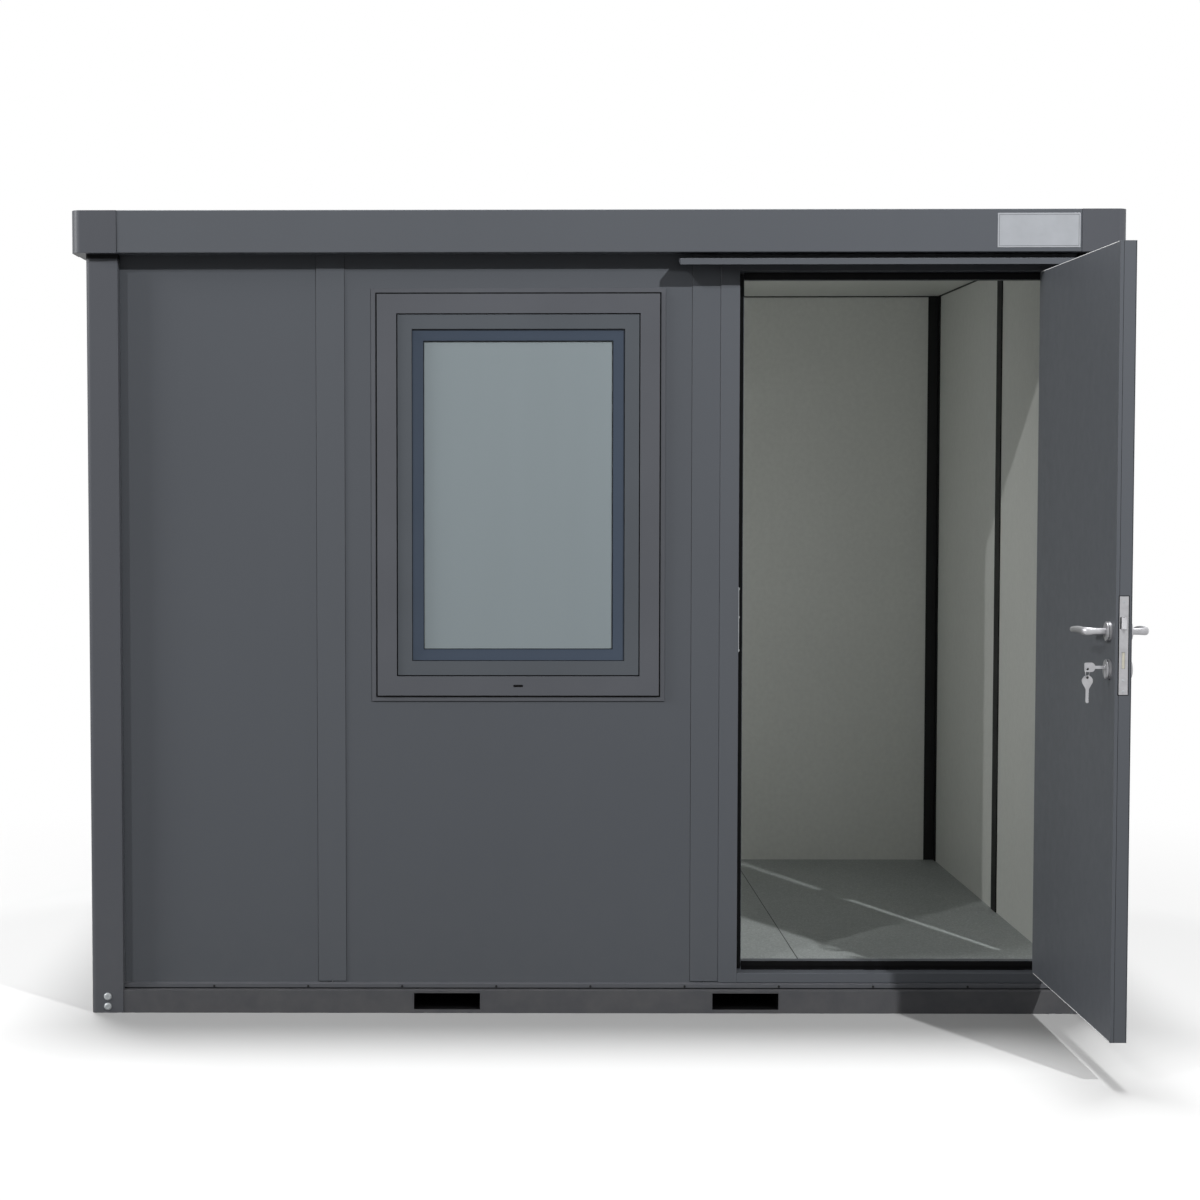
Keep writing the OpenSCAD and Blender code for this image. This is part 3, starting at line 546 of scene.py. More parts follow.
def mesh_from(shape, name):
    """The mesh of a closed bmesh, with its faces turned outwards."""
    bmesh.ops.recalc_face_normals(shape, faces=shape.faces)
    mesh = bpy.data.meshes.new(name)
    shape.to_mesh(mesh)
    shape.free()
    return mesh


def shaped(name, body, slot, coat, shape, width=0.0, nodes=()):
    """A piece from a bmesh, with its finish and softened edges."""
    piece = object_from(mesh_from(shape, name), name)
    piece.data.materials.append(finish(coat))
    soften(piece, width)
    return settle(piece, body, slot, *nodes)


def span(middle, half):
    return middle - half, middle + half


def bar(x, y, z):
    """Two opposite corners of a box from its reach along each axis."""
    return tuple(zip(x, y, z))


def block_mesh(shape, low, high):
    """One box in a bmesh between two opposite corners."""
    low, high = Vector(low), Vector(high)
    middle, size = (low + high) / 2, high - low
    place = Matrix.Translation(middle) @ Matrix.Diagonal((*size, 1.0))
    bmesh.ops.create_cube(shape, size=1.0, matrix=place)


def blocks(name, body, slot, coat, boxes, width=0.0):
    """A piece of separate bars."""
    shape = bmesh.new()
    for low, high in boxes:
        block_mesh(shape, low, high)
    return shaped(name, body, slot, coat, shape, width)


def bridged(shape, near, far):
    """Faces between two closed rims with the same number of points."""
    for i in range(len(near)):
        j = (i + 1) % len(near)
        shape.faces.new((near[i], near[j], far[j], far[i]))


def ring(box, margin, y0, y1, wide):
    """Corners and bar width of a frame across Y, larger all round than a box by a margin."""
    low = Vector((box[0].x - margin, y0, box[0].z - margin))
    high = Vector((box[1].x + margin, y1, box[1].z + margin))
    return low, high, wide


def frame_rings(name, body, slot, coat, rings):
    """Flat mitred frames across Y, one inside the other."""
    shape = bmesh.new()
    for low, high, wide in rings:
        rims = []
        for y in (low.y, high.y):
            for inset in (0.0, wide):
                x0, z0, x1, z1 = low.x + inset, low.z + inset, high.x - inset, high.z - inset
                corners = ((x0, y, z0), (x1, y, z0), (x1, y, z1), (x0, y, z1))
                rims.append([shape.verts.new(corner) for corner in corners])
        for a, b in ((0, 1), (1, 3), (3, 2), (2, 0)):
            bridged(shape, rims[a], rims[b])
    return shaped(name, body, slot, coat, shape)


def extruded(shape, outline, axis, low, high, place=(0, 0, 0)):
    """A closed plate in a bmesh: an outline of (u, v) points drawn out along an axis."""
    across, up = [i for i in range(3) if i != axis]
    rims = []
    for depth in (low, high):
        rim = []
        for u, v in outline:
            spot = list(place)
            spot[axis] = depth
            spot[across] += u
            spot[up] += v
            rim.append(shape.verts.new(spot))
        rims.append(rim)
    near, far = rims
    shape.faces.new(near)
    shape.faces.new(reversed(far))
    bridged(shape, near, far)


def arc(centre, radius, start, end, steps=8):
    """Points on part of a circle, from one angle to another in degrees."""
    angles = [radians(start + (end - start) * i / steps) for i in range(steps + 1)]
    return [(centre[0] + radius * cos(a), centre[1] + radius * sin(a)) for a in angles]


def circle(steps):
    """The cosine and sine of each step once round."""
    angles = [2 * pi * i / steps for i in range(steps)]
    return [(cos(a), sin(a)) for a in angles]


def turned_part(shape, profile, place, steps=48):
    """A turned ring in a bmesh: a closed profile of (radius, rise), turned about X at a place."""
    place = Vector(place)
    rims = []
    for c, s in circle(steps):
        spots = [Vector((rise, radius * c, radius * s)) for radius, rise in profile]
        rims.append([shape.verts.new(place + spot) for spot in spots])
    for near, far in zip(rims, rims[1:] + rims[:1]):
        bridged(shape, near, far)


def wire_ring(shape, centre, radius, wire, turn, steps=44, sides=10):
    """A ring of round wire in a bmesh."""
    rims = []
    for c, s in circle(steps):
        rim = []
        for across, aside in circle(sides):
            reach = radius + wire * across
            spot = centre + turn @ Vector((wire * aside, reach * c, reach * s))
            rim.append(shape.verts.new(spot))
        rims.append(rim)
    for near, far in zip(rims, rims[1:] + rims[:1]):
        bridged(shape, near, far)


def swept_bar(shape, path, halves, steps=20):
    """A bar in a bmesh along a path, with its own half width and half height at each point."""
    rims = []
    last = len(path) - 1
    for i, (place, (wide, tall)) in enumerate(zip(path, halves)):
        along = (path[min(i + 1, last)] - path[max(i - 1, 0)]).normalized()
        side = along.cross(Vector((0, 0, 1))).normalized()
        up = side.cross(along)
        spots = [place + side * wide * c + up * tall * s for c, s in circle(steps)]
        rims.append([shape.verts.new(spot) for spot in spots])
    for near, far in zip(rims, rims[1:]):
        bridged(shape, near, far)
    shape.faces.new(reversed(rims[0]))
    shape.faces.new(rims[-1])


# ---------------------------------------------------------------- repeated parts


class NodeSheet(Nodes):
    """A Geometry Nodes tree under construction, with named inputs for its sizes."""

    def __init__(self, name, *sizes):
        super().__init__(bpy.data.node_groups.new(name, "GeometryNodeTree"))
        face = self.tree.interface
        for way in ("INPUT", "OUTPUT"):
            face.new_socket("Geometry", in_out=way, socket_type="NodeSocketGeometry")
        self.keys = {}
        for label in (*sizes, "Finish"):
            kind = {"Count": "Int", "Finish": "Material"}.get(label, "Float")
            socket = face.new_socket(label, in_out="INPUT", socket_type="NodeSocket" + kind)
            self.keys[label] = socket.identifier
        self.given = self.tree.nodes.new("NodeGroupInput").outputs

    def share(self, size, factor):
        return self.maths("MULTIPLY", size, factor)

    def vector(self, *parts):
        return self.add("ShaderNodeCombineXYZ", dict(enumerate(parts)))[0]

    def moved(self, geometry, x, y, z):
        feeds = {"Geometry": geometry, "Translation": self.vector(x, y, z)}
        return self.add("GeometryNodeTransform", feeds)[0]

    def joined(self, *parts):
        node = self.tree.nodes.new("GeometryNodeJoinGeometry")
        for part in parts:
            self.tree.links.new(part, node.inputs[0])
        return node.outputs[0]

    def close(self, geometry):
        real = self.add("GeometryNodeRealizeInstances", {"Geometry": geometry})[0]
        feeds = {"Geometry": real, "Material": self.given["Finish"]}
        done = self.add("GeometryNodeSetMaterial", feeds)[0]
        self.add("NodeGroupOutput", {0: done})
        return self


def screw_sheet():
    """Domed heads with a hexagon recess on every point, turned along the point's facing."""
    s = NodeSheet("screw heads", "Radius", "Height", "Recess")
    radius, height, recess = (s.given[label] for label in ("Radius", "Height", "Recess"))
    shoulder, rim_share, sides = 0.93, 0.55, 28

    def cone(bottom, top, depth):
        feeds = {"Vertices": sides, "Radius Bottom": bottom, "Radius Top": top, "Depth": depth}
        return s.add("GeometryNodeMeshCone", feeds)["Mesh"]

    shoulder_radius = s.share(radius, shoulder)
    rim = cone(radius, shoulder_radius, s.share(height, rim_share))
    crown = cone(shoulder_radius, s.share(radius, 0.66), s.share(height, 1 - rim_share))
    crown = s.moved(crown, 0, 0, s.share(height, rim_share))
    feeds = {"Vertices": 6, "Radius": s.share(radius, recess), "Depth": height}
    hexagon = s.add("GeometryNodeMeshCylinder", feeds)["Mesh"]
    hexagon = s.moved(hexagon, 0, 0, s.share(height, 0.95))
    cut = {"Mesh 1": crown, "Mesh 2": hexagon}
    head = s.add("GeometryNodeMeshBoolean", cut, operation="DIFFERENCE")[0]
    facing = {"Name": "facing"}
    facing = s.add("GeometryNodeInputNamedAttribute", facing, data_type="FLOAT_VECTOR")[0]
    turn = s.add("FunctionNodeAlignRotationToVector", {"Vector": facing}, axis="Z")[0]
    feeds = {"Points": s.given["Geometry"], "Instance": s.joined(rim, head), "Rotation": turn}
    return s.close(s.add("GeometryNodeInstanceOnPoints", feeds)[0])


def seam_sheet():
    """Standing seams of the roof sheet, side by side at an even pitch."""
    labels = ("Count", "Pitch", "Length", "Width", "Height")
    s = NodeSheet("roof seams", *labels)
    count, pitch, length, width, height = (s.given[label] for label in labels)
    foot = s.vector(width, length, s.share(height, 0.4))
    cap = s.vector(s.share(width, 0.42), length, height)
    bars = []
    for size, lift in ((foot, 0.2), (cap, 0.5)):
        bar = s.add("GeometryNodeMeshCube", {"Size": size})[0]
        bars.append(s.moved(bar, 0, 0, s.share(height, lift)))
    start = s.share(s.share(s.maths("SUBTRACT", count, 1.0), -0.5), pitch)
    feeds = {"Count": count, "Start Location": s.vector(start), "Offset": s.vector(pitch)}
    line = s.add("GeometryNodeMeshLine", feeds)[0]
    feeds = {"Points": line, "Instance": s.joined(*bars)}
    return s.close(s.add("GeometryNodeInstanceOnPoints", feeds)[0])


def points_mesh(name, spots):
    """Points with the way that each one faces."""
    mesh = bpy.data.meshes.new(name)
    mesh.from_pydata([place for place, _ in spots], [], [])
    facing = mesh.attributes.new("facing", "FLOAT_VECTOR", "POINT")
    for i, (_, way) in enumerate(spots):
        facing.data[i].vector = way
    return mesh


def grown(sheet, name, mesh, values, lift=0.0):
    """The tree's result on a mesh, as a plain mesh."""
    carrier = object_from(mesh, name)
    modifier = carrier.modifiers.new("tree", "NODES")
    modifier.node_group = sheet.tree
    for label, value in values.items():
        modifier[sheet.keys[label]] = value
    result = evaluated_mesh(carrier)
    carrier.modifiers.clear()
    carrier.data = result
    result.transform(Matrix.Translation((0, 0, lift)))
    result.name = name
    if not result.polygons:
        raise RuntimeError(name + " came out empty")
    return carrier


def screws(name, body, slot, coat, radius, height, spots, recess=0.45):
    values = {"Radius": radius, "Height": height, "Recess": recess, "Finish": finish(coat)}
    piece = grown(screw_sheet(), name, points_mesh(name, spots), values)
    piece.data.shade_smooth()
    piece.data.set_sharp_from_angle(angle=radians(28))
    return settle(piece, body, slot)


# ---------------------------------------------------------------- pieces


class CABIN_OT_frame_steel(bpy.types.Operator):
    """Makes the posts, rails and roof frame with folded edges and a satin coating"""

    bl_idname = "cabin.frame_steel"
    bl_label = "Frame steel"

    def execute(self, context):
        sizes = context.scene.cabin_sizes
        steel, soft, fine = "frame_steel", sizes.soft_edge, sizes.fine_edge
        copies(steel, "post coat", fine, "corner_posts")
        copies(steel, "base coat", fine, "base_long_rails", "base_side_rails")
        copies(steel, "roof frame coat", soft, "roof_long_beams", "roof_side_beams")
        low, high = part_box("fork_tunnels")
        tunnel_z, half_tunnel = 35 * MM, 30 * MM

        def rounded_edge(place, normal):
            return abs(normal.x) > 0.12 and abs(normal.y) > 0.12

        def painted_shade_in_tunnel(place, normal):
            level = abs(normal.z) > FACING and low.z + MM < place.z < high.z - MM
            return level or abs(normal.x) > FACING and abs(place.z - tunnel_z) < half_tunnel

        scuffs_and_painted_light = "corner block coat"
        # The rounded corners of the blocks take the scuffed coat: real scuffs, and a lighter tone that
        # is painted light on the rounded faces.
        finished_copy("roof_corner_blocks", steel, "post coat", fine, scuffs_and_painted_light, rounded_edge)
        # The tunnels' inner faces take the black rubber finish: painted shade for the dark inside of
        # the tunnels.
        finished_copy("fork_tunnels", steel, "base coat", fine / 4, "seal rubber", painted_shade_in_tunnel)
        self.post_top_shade_bands()
        copies("galvanised_steel", "zinc sheet", fine, "floor_joists")
        return {"FINISHED"}

    def post_top_shade_bands(self):
        """Black bands round the posts' tops, under the corner blocks: painted shade of the gap between
        post and block.
        """
        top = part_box("corner_posts")[1]
        proud, band, bend = 0.4 * MM, 13 * MM, 13 * MM
        outer = POST_SIDE + proud
        outline = [(-proud, -proud), (outer, -proud)]
        outline += arc((outer - bend, outer - bend), bend, 0, 90, 6) + [(-proud, outer)]
        shape = bmesh.new()
        for x_way, y_way in ((-1, -1), (-1, 1), (1, -1), (1, 1)):
            turned = [(x_way * u, y_way * v) for u, v in outline]
            place = (x_way * (top.x - POST_SIDE), y_way * (top.y - POST_SIDE), 0)
            extruded(shape, turned, 2, top.z - band, top.z - proud, place)
        shaped("post_top_gap_shade", "cabin", *DARK, shape)


class CABIN_OT_walls(bpy.types.Operator):
    """Makes the wall panels, coated outside and lined inside, with their joint strips"""

    bl_idname = "cabin.walls"
    bl_label = "Walls"

    def execute(self, context):
        fine = context.scene.cabin_sizes.fine_edge
        front_y, side_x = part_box("window_panel")[0].y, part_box("right_panels")[1].x
        skin = 12 * MM

        def inside(place, normal):
            return abs(place.y) < abs(front_y) - skin and abs(place.x) < side_x - skin

        panels = ("front_panel_left", "window_panel", "back_panels", "left_panels", "right_panels")
        for node in panels:
            finished_copy(node, "wall_steel", "wall coat", fine, "room lining", inside)
        strips = ("front_joint_strips", "back_joint_strips", "side_joint_strips")
        copies("trim_steel", "strip coat", fine, *strips)
        copies("trim_steel", "trim coat", fine, "sill_trims")
        copies("trim_steel", "dark cover", fine, "inner_joint_covers", "inner_corner_strips")
        self.strip_shade_lines()
        return {"FINISHED"}

    def strip_shade_lines(self):
        """Dark lines along both sides of each joint strip: painted shade of the strips' edges."""
        bars = []
        thick, wide = 0.8 * MM, 1.3 * MM
        front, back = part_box("window_panel")[0].y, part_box("back_panels")[1].y
        for node, wall in (("front_joint_strips", front), ("back_joint_strips", back)):
            low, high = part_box(node)
            for x in (low.x, low.x + STRIP_WIDTH, high.x - STRIP_WIDTH, high.x):
                bars.append(bar(span(x, wide / 2), span(wall, thick), (low.z, high.z - wide)))
        low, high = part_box("side_joint_strips")
        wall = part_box("right_panels")[1].x
        for x in (-wall, wall):
            for y in (low.y, high.y):
                bars.append(bar(span(x, thick), span(y, wide / 2), (low.z, high.z - wide)))
        blocks("strip_edge_shade", "cabin", *DARK, bars)


class CABIN_OT_floor_and_roof(bpy.types.Operator):
    """Makes the floor covering, deck, ceiling and roof sheet"""

    bl_idname = "cabin.floor_and_roof"
    bl_label = "Floor and roof"

    def execute(self, context):
        sizes = context.scene.cabin_sizes
        copies("vinyl", "floor vinyl", 0.0, "floor_covering")
        copies("plywood", "deck plywood", 0.0, "floor_deck")
        copies("lining", "room lining", 0.0, "ceiling_panel")
        copies("galvanised_steel", "zinc sheet", sizes.fine_edge, "roof_sheet")
        low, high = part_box("floor_covering")
        line, joint_x, thin = sizes.joint_line, 605 * MM, 0.3 * MM
        joint = bar(span(joint_x, line / 2), (low.y + line, high.y - line), span(high.z, thin))
        blocks("floor_joint_line", "cabin", "vinyl", "dark cover", [joint])
        room_x, room_y = high.x, high.y
        # Dark bands where the ceiling meets the walls: painted shade of that corner.
        gap, sunk = 4 * MM, 1 * MM
        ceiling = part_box("ceiling_panel")[0].z
        depth = (ceiling - gap, ceiling + sunk)
        bars = [
            bar((-room_x, room_x), (room_y - gap, room_y + sunk), depth),
            bar((-room_x, room_x), (-room_y - sunk, -room_y + gap), depth),
            bar((-room_x - sunk, -room_x + gap), (-room_y, room_y), depth),
            bar((room_x - gap, room_x + sunk), (-room_y, room_y), depth),
        ]
        blocks("ceiling_corner_shade", "cabin", "rubber", "dark cover", bars)
        return {"FINISHED"}


class CABIN_OT_roof_seams(bpy.types.Operator):
    """Makes the standing seams of the roof sheet"""

    bl_idname = "cabin.roof_seams"
    bl_label = "Roof seams"

    def execute(self, context):
        sizes = context.scene.cabin_sizes
        low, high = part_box("roof_sheet")
        inset, sunk = 120 * MM, 0.3 * MM
        values = {
            "Count": int((high.x - low.x - 2 * inset) / sizes.seam_pitch) + 1,
            "Pitch": sizes.seam_pitch,
            "Length": high.y - low.y - inset,
            "Width": 34 * MM,
            "Height": sizes.seam_height,
            "Finish": finish("zinc sheet"),
        }
        seed = bpy.data.meshes.new("seam seed")
        piece = grown(seam_sheet(), "roof_seams", seed, values, high.z - sunk)
        soften(piece, 1.5 * MM)
        settle(piece, "cabin", "galvanised_steel")
        return {"FINISHED"}


class CABIN_OT_window(bpy.types.Operator):
    """Makes the window: trim, frame, sash, bead, gaskets, glass, and dark painted shade in its gaps
    and drain slot
    """

    bl_idname = "cabin.window"
    bl_label = "Window"

    def execute(self, context):
        fine = context.scene.cabin_sizes.fine_edge
        copies("trim_steel", "window foil", fine, "window_trim")
        copies("window_plastic", "window foil", fine, "window_frame")
        copies("window_plastic", "sash foil", fine, "window_sash")
        copies("bead", "bead plastic", 0.0, "glazing_bead")
        copies("glass", "hazy glass", fine / 2, "window_glass")
        self.gaskets()
        self.drain_slot()
        return {"FINISHED"}

    def gaskets(self):
        """Black rings: round the frame and round the sash they are painted shade of the gaps; on both
        sides of the bead they are gaskets.
        """
        outer, sash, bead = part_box("window_frame"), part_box("window_sash"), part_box("glazing_bead")
        trim_y, sash_y, glass_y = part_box("window_trim")[0].y, sash[0].y, bead[1].y
        seal, fit, thin, bead_width = 4.4 * MM, 3 * MM, 1.4 * MM, 33 * MM
        rings = [
            ring(outer, seal, trim_y - 1.2 * MM, trim_y + MM, seal),
            ring(sash, fit, sash_y + 3 * MM, sash_y + 9 * MM, fit),
            ring(bead, 0.0, sash_y - 0.1 * MM, sash_y + 5 * MM, thin),
            ring(bead, -bead_width, glass_y - 4 * MM, glass_y - 0.2 * MM, 2 * MM),
        ]
        frame_rings("window_gaskets_and_gap_shade", "cabin", *DARK, rings)

    def drain_slot(self):
        """A dark plate behind the drain slot in the frame's lower bar: painted shade inside the slot.
        """
        low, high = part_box("window_frame")
        slot_width, slot_height, frame_bar = 29 * MM, 7 * MM, 56 * MM
        half, radius = (slot_width - slot_height) / 2, slot_height / 2
        outline = arc((half, 0), radius, -90, 90) + arc((-half, 0), radius, 90, 270)
        place = ((low.x + high.x) / 2, 0, low.z + frame_bar / 2)
        shape = bmesh.new()
        extruded(shape, outline, 1, low.y + MM, low.y + 6 * MM, place)
        shaped("drain_slot_shade", "cabin", *DARK, shape)


class CABIN_OT_door_frame(bpy.types.Operator):
    """Makes the door frame, its seal, threshold, canopy, strike plate and hinges"""

    bl_idname = "cabin.door_frame"
    bl_label = "Door frame"

    def execute(self, context):
        fine = context.scene.cabin_sizes.fine_edge
        copies("trim_steel", "door coat", fine, "door_jamb_lock_side", "door_jamb_hinge_side")
        seal_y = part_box("door_seal")[0].y

        def behind_leaf(place, normal):
            return normal.y < -FACING and place.y > seal_y

        for node in ("door_head", "door_threshold"):
            finished_copy(node, "trim_steel", "door coat", fine, "seal rubber", behind_leaf)
        copies("trim_steel", "roof frame coat", fine, "rain_canopy")
        copies(*DARK, fine, "door_seal")
        copies(*SATIN, fine / 2, "strike_plate")
        copies("trim_steel", "door coat", fine / 2, "frame_hinges")
        return {"FINISHED"}


class CABIN_OT_door(bpy.types.Operator):
    """Makes the door leaf and what is fixed to it"""

    bl_idname = "cabin.door"
    bl_label = "Door"

    def execute(self, context):
        sizes = context.scene.cabin_sizes
        copies("wall_steel", "door coat", sizes.soft_edge, "door_leaf")
        copies("trim_steel", "door coat", sizes.fine_edge / 2, "leaf_hinges")
        low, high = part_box("door_leaf")
        # Dark lines near both upright edges of the leaf: painted shade of the sheet's folds.
        line, proud = 0.9 * MM, 0.15 * MM
        depth, height = (low.y - proud, low.y + MM), (low.z + line, high.z - line)
        folds = (low.x + 9.5 * MM, high.x - 2.2 * MM)
        bars = [bar(span(x, line / 2), depth, height) for x in folds]
        blocks("leaf_fold_shade_lines", "door", *DARK, bars)
        # White lips along the leaf's top and bottom ends: a painted highlight, where the edges catch
        # the light.
        lip, stand, clear, inset = 1.6 * MM, 0.3 * MM, 0.5 * MM, 12 * MM
        width, depth = (low.x - stand, low.x + MM), (low.y + inset, high.y - inset)
        ends = (low.z + clear, high.z - lip - clear)
        bars = [bar(width, depth, (z, z + lip)) for z in ends]
        blocks("leaf_painted_highlight_lips", "door", "trim_steel", "bare edge", bars)
        return {"FINISHED"}


def rounded_outline(width, height, left, right):
    """A rectangle from (0, 0) towards -u, centred in v, with its own corner radii at both ends."""
    half = height / 2
    outline = arc((-right, half - right), right, 0, 90)
    outline += arc((left - width, half - left), left, 90, 180)
    outline += arc((left - width, left - half), left, 180, 270)
    return outline + arc((-right, right - half), right, 270, 360)


class CABIN_OT_lock(bpy.types.Operator):
    """Makes the lock: forend, latch, deadbolt, roses, cylinder and keys"""

    bl_idname = "cabin.lock"
    bl_label = "Lock"

    def execute(self, context):
        sizes = context.scene.cabin_sizes
        fine = sizes.fine_edge
        copies(*SATIN, fine / 4, "lock_forend")
        copies(*SATIN, fine / 2, "lock_cylinder", "latch_bolt")
        self.roses()
        self.forend_parts(sizes.lock_screw)
        self.strike_parts(sizes.lock_screw)
        self.keys()
        return {"FINISHED"}

    def roses(self):
        """Turned roses with a groove between their two rings."""
        leaf_low, leaf_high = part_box("door_leaf")
        low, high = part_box("lock_roses")
        radius, thick, hole = (high.y - low.y) / 2, leaf_low.x - low.x, 8.4 * MM
        rim = ((0, 0), (0, 0.36), (0.4, 0.42), (1.9, 0.45), (1.9, 0.53))
        rim += ((0.4, 0.56), (0, 0.62), (0, 0.82), (0.7, 0.93), (2.2, 1))
        profile = [(radius - inset * MM, thick * share) for inset, share in rim]
        profile += [(hole + 0.6 * MM, thick), (hole, thick * 0.95), (hole, 0.0)]
        shape = bmesh.new()
        for z in (low.z + radius, high.z - radius):
            for x, way in ((leaf_low.x, -1), (leaf_high.x, 1)):
                outward = [(reach, way * rise) for reach, rise in profile]
                turned_part(shape, outward, (x, (low.y + high.y) / 2, z))
        shaped("lock_roses_turned", "door", *SATIN, shape, 0.0, ["lock_roses"])

    def forend_parts(self, screw_radius):
        """A dark ring round the forend, which is painted shade of the gap round it, the forend's
        screws, the deadbolt's end, and a dark bar in the latch's slot, which is painted shade.
        """
        low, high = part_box("lock_forend")
        joint, proud = 1.9 * MM, 0.12 * MM
        front = (low.y - proud, low.y + MM)
        frame_rings("forend_gap_shade", "door", *DARK, [ring((low, high), joint, *front, joint)])
        x = (low.x + high.x) / 2
        heights = (low.z + 8 * MM, low.z + 37 * MM, high.z - 14 * MM)
        spots = [((x, low.y, z), FRONT) for z in heights]
        screws("forend_screws", "door", *BRIGHT, screw_radius, 0.9 * MM, spots, 0.5)
        bolt_z, half_width, half_height = (low.z + high.z) / 2 - 38 * MM, 3.7 * MM, 20.5 * MM
        depth = (low.y + 0.3 * MM, low.y + 20 * MM)
        end = bar(span(x, half_width), depth, span(bolt_z, half_height))
        blocks("deadbolt_end", "door", "nickel", "deadbolt metal", [end], 0.6 * MM)
        latch_low, latch_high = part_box("latch_bolt")
        across = (latch_low.x - 3.4 * MM, latch_low.x - 0.4 * MM)
        slot = bar(across, front, (latch_low.z, latch_high.z))
        blocks("latch_slot_shade", "door", *DARK, [slot])

    def strike_parts(self, screw_radius):
        """The strike plate's lip at the jamb's edge, with its screws."""
        low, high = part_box("strike_plate")
        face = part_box("door_jamb_lock_side")[0].y
        edge, inset = high.x + 1.8 * MM, 5 * MM
        lip = bar((high.x - 0.4 * MM, edge), (face + 0.8 * MM, low.y + MM), (low.z, high.z))
        blocks("strike_lip", "cabin", *BRIGHT, [lip], 0.6 * MM)
        heights = (low.z + inset, (low.z + high.z) / 2 + 7 * MM, high.z - inset)
        spots = [((edge - 0.1 * MM, face + 5.5 * MM, z), RIGHT) for z in heights]
        screws("strike_screws", "cabin", *BRIGHT, screw_radius, 2.2 * MM, spots, 0.5)

    def keys(self):
        """A key in the cylinder, a ring through its bow and a spare key that hangs from it."""
        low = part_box("keys")[0]
        cylinder_low, cylinder_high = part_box("lock_cylinder")
        y, key_z = (cylinder_low.y + cylinder_high.y) / 2, cylinder_high.z - 8.5 * MM
        half, bow_width, bow_height, neck = 1.25 * MM, 27 * MM, 24 * MM, 4 * MM
        bow_x = low.x + bow_width + MM
        neck_end = cylinder_low.x + 6 * MM - bow_x
        shape = bmesh.new()
        outline = rounded_outline(bow_width, bow_height, 3.5 * MM, 9 * MM)
        extruded(shape, outline, 1, *span(y, half), (bow_x, 0, key_z))
        outline = [(-2 * MM, -neck), (neck_end, -neck), (neck_end, neck), (-2 * MM, neck)]
        extruded(shape, outline, 1, *span(y, half * 0.9), (bow_x, 0, key_z))
        ring_radius, wire, spare_radius = 12 * MM, 1.0 * MM, 14 * MM
        hole_x, top = bow_x - bow_width + 8 * MM, key_z - 1.5 * MM
        turn = Matrix.Rotation(radians(-38), 4, "Z")
        wire_ring(shape, Vector((hole_x, y, top - ring_radius)), ring_radius, wire, turn)
        spare_z = top - 2 * ring_radius - spare_radius + 4.5 * MM
        outline = self.spare_outline(spare_radius, low.z - spare_z)
        extruded(shape, outline, 1, *span(y, half), (hole_x, 0, spare_z))
        shaped("keys_cut", "door", *SATIN, shape, 0.35 * MM, ["keys"])
        holes = bmesh.new()
        hole, proud = arc((0, 0), 3.3 * MM, 0, 345, 23), 0.12 * MM
        for z in (key_z - 4.2 * MM, spare_z + 9 * MM):
            extruded(holes, hole, 1, y - half - proud, y + half + proud, (hole_x, 0, z))
        shaped("key_bow_holes", "door", *DARK, holes)

    def spare_outline(self, radius, foot):
        """A key's outline round the middle of its bow, with five notches down to its foot."""
        blade, neck_top, neck_foot = 4.2 * MM, -17 * MM, -22 * MM
        outline = arc((0, 0), radius, -38, 218, 24)
        outline += [(-blade * 1.5, neck_top), (-blade, neck_foot), (-blade, foot + 3 * MM)]
        outline += [(-blade * 0.4, foot), (blade * 0.6, foot), (blade, foot + 3 * MM)]
        for i in range(5):
            z = foot + 6 * MM + i * 4.2 * MM
            outline += [(blade, z), (blade - 1.6 * MM, z + 1.4 * MM), (blade, z + 2.8 * MM)]
        return outline + [(blade, neck_foot), (blade * 1.5, neck_top)]


class CABIN_OT_lever(bpy.types.Operator):
    """Makes the lever handle on both faces of the leaf, with its slim wavy grip"""

    bl_idname = "cabin.lever"
    bl_label = "Lever handle"

    def execute(self, context):
        leaf_low, leaf_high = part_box("door_leaf")
        low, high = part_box("lock_roses")
        radius = (high.y - low.y) / 2
        y, z = low.y + radius, high.z - radius
        # How far out, along and up, then half width and half height, in millimetres
        bends = (
            (-4, 0, 0, 8.0, 8.6),
            (12, 0, 0, 8.0, 8.6),
            (30, 0, 0, 8.0, 8.8),
            (44, 0.5, 0, 8.0, 9.4),
            (55, 4, 0, 7.6, 10.2),
            (62, 11, 0, 7.4, 10.8),
            (65, 21, 0.5, 7.0, 10.4),
            (65, 40, 1.6, 6.4, 9.4),
            (64, 70, 2.0, 6.0, 8.8),
            (64.5, 100, 0.2, 5.8, 8.4),
            (66, 124, -1.8, 5.6, 7.8),
            (66.5, 134, -2.4, 5.0, 7.0),
            (66.5, 138, -2.6, 3.6, 5.4),
        )
        halves = [(wide * MM, tall * MM) for *_, wide, tall in bends]
        shape = bmesh.new()
        outer = context.scene.cabin_sizes.outer_lever
        for x, way, reach in ((leaf_low.x, -1, 1.0), (leaf_high.x, 1, outer)):
            path = [
                Vector((x + way * out * reach * MM, y + along * MM, z + rise * MM))
                for out, along, rise, *_ in bends
            ]
            swept_bar(shape, path, halves)
        spindle, reach = 4.5 * MM, (leaf_low.x - 2 * MM, leaf_high.x + 2 * MM)
        block_mesh(shape, *bar(reach, span(y, spindle), span(z, spindle)))
        piece = object_from(mesh_from(shape, "lever_handle_curved"), "lever_handle_curved")
        piece.data.materials.append(finish("satin nickel"))
        smooth = piece.modifiers.new("smooth", "SUBSURF")
        smooth.levels = smooth.render_levels = 1
        piece.data.shade_smooth()
        piece.data = evaluated_mesh(piece)
        piece.modifiers.clear()
        settle(piece, "handle", "nickel", "lever_handle")
        return {"FINISHED"}


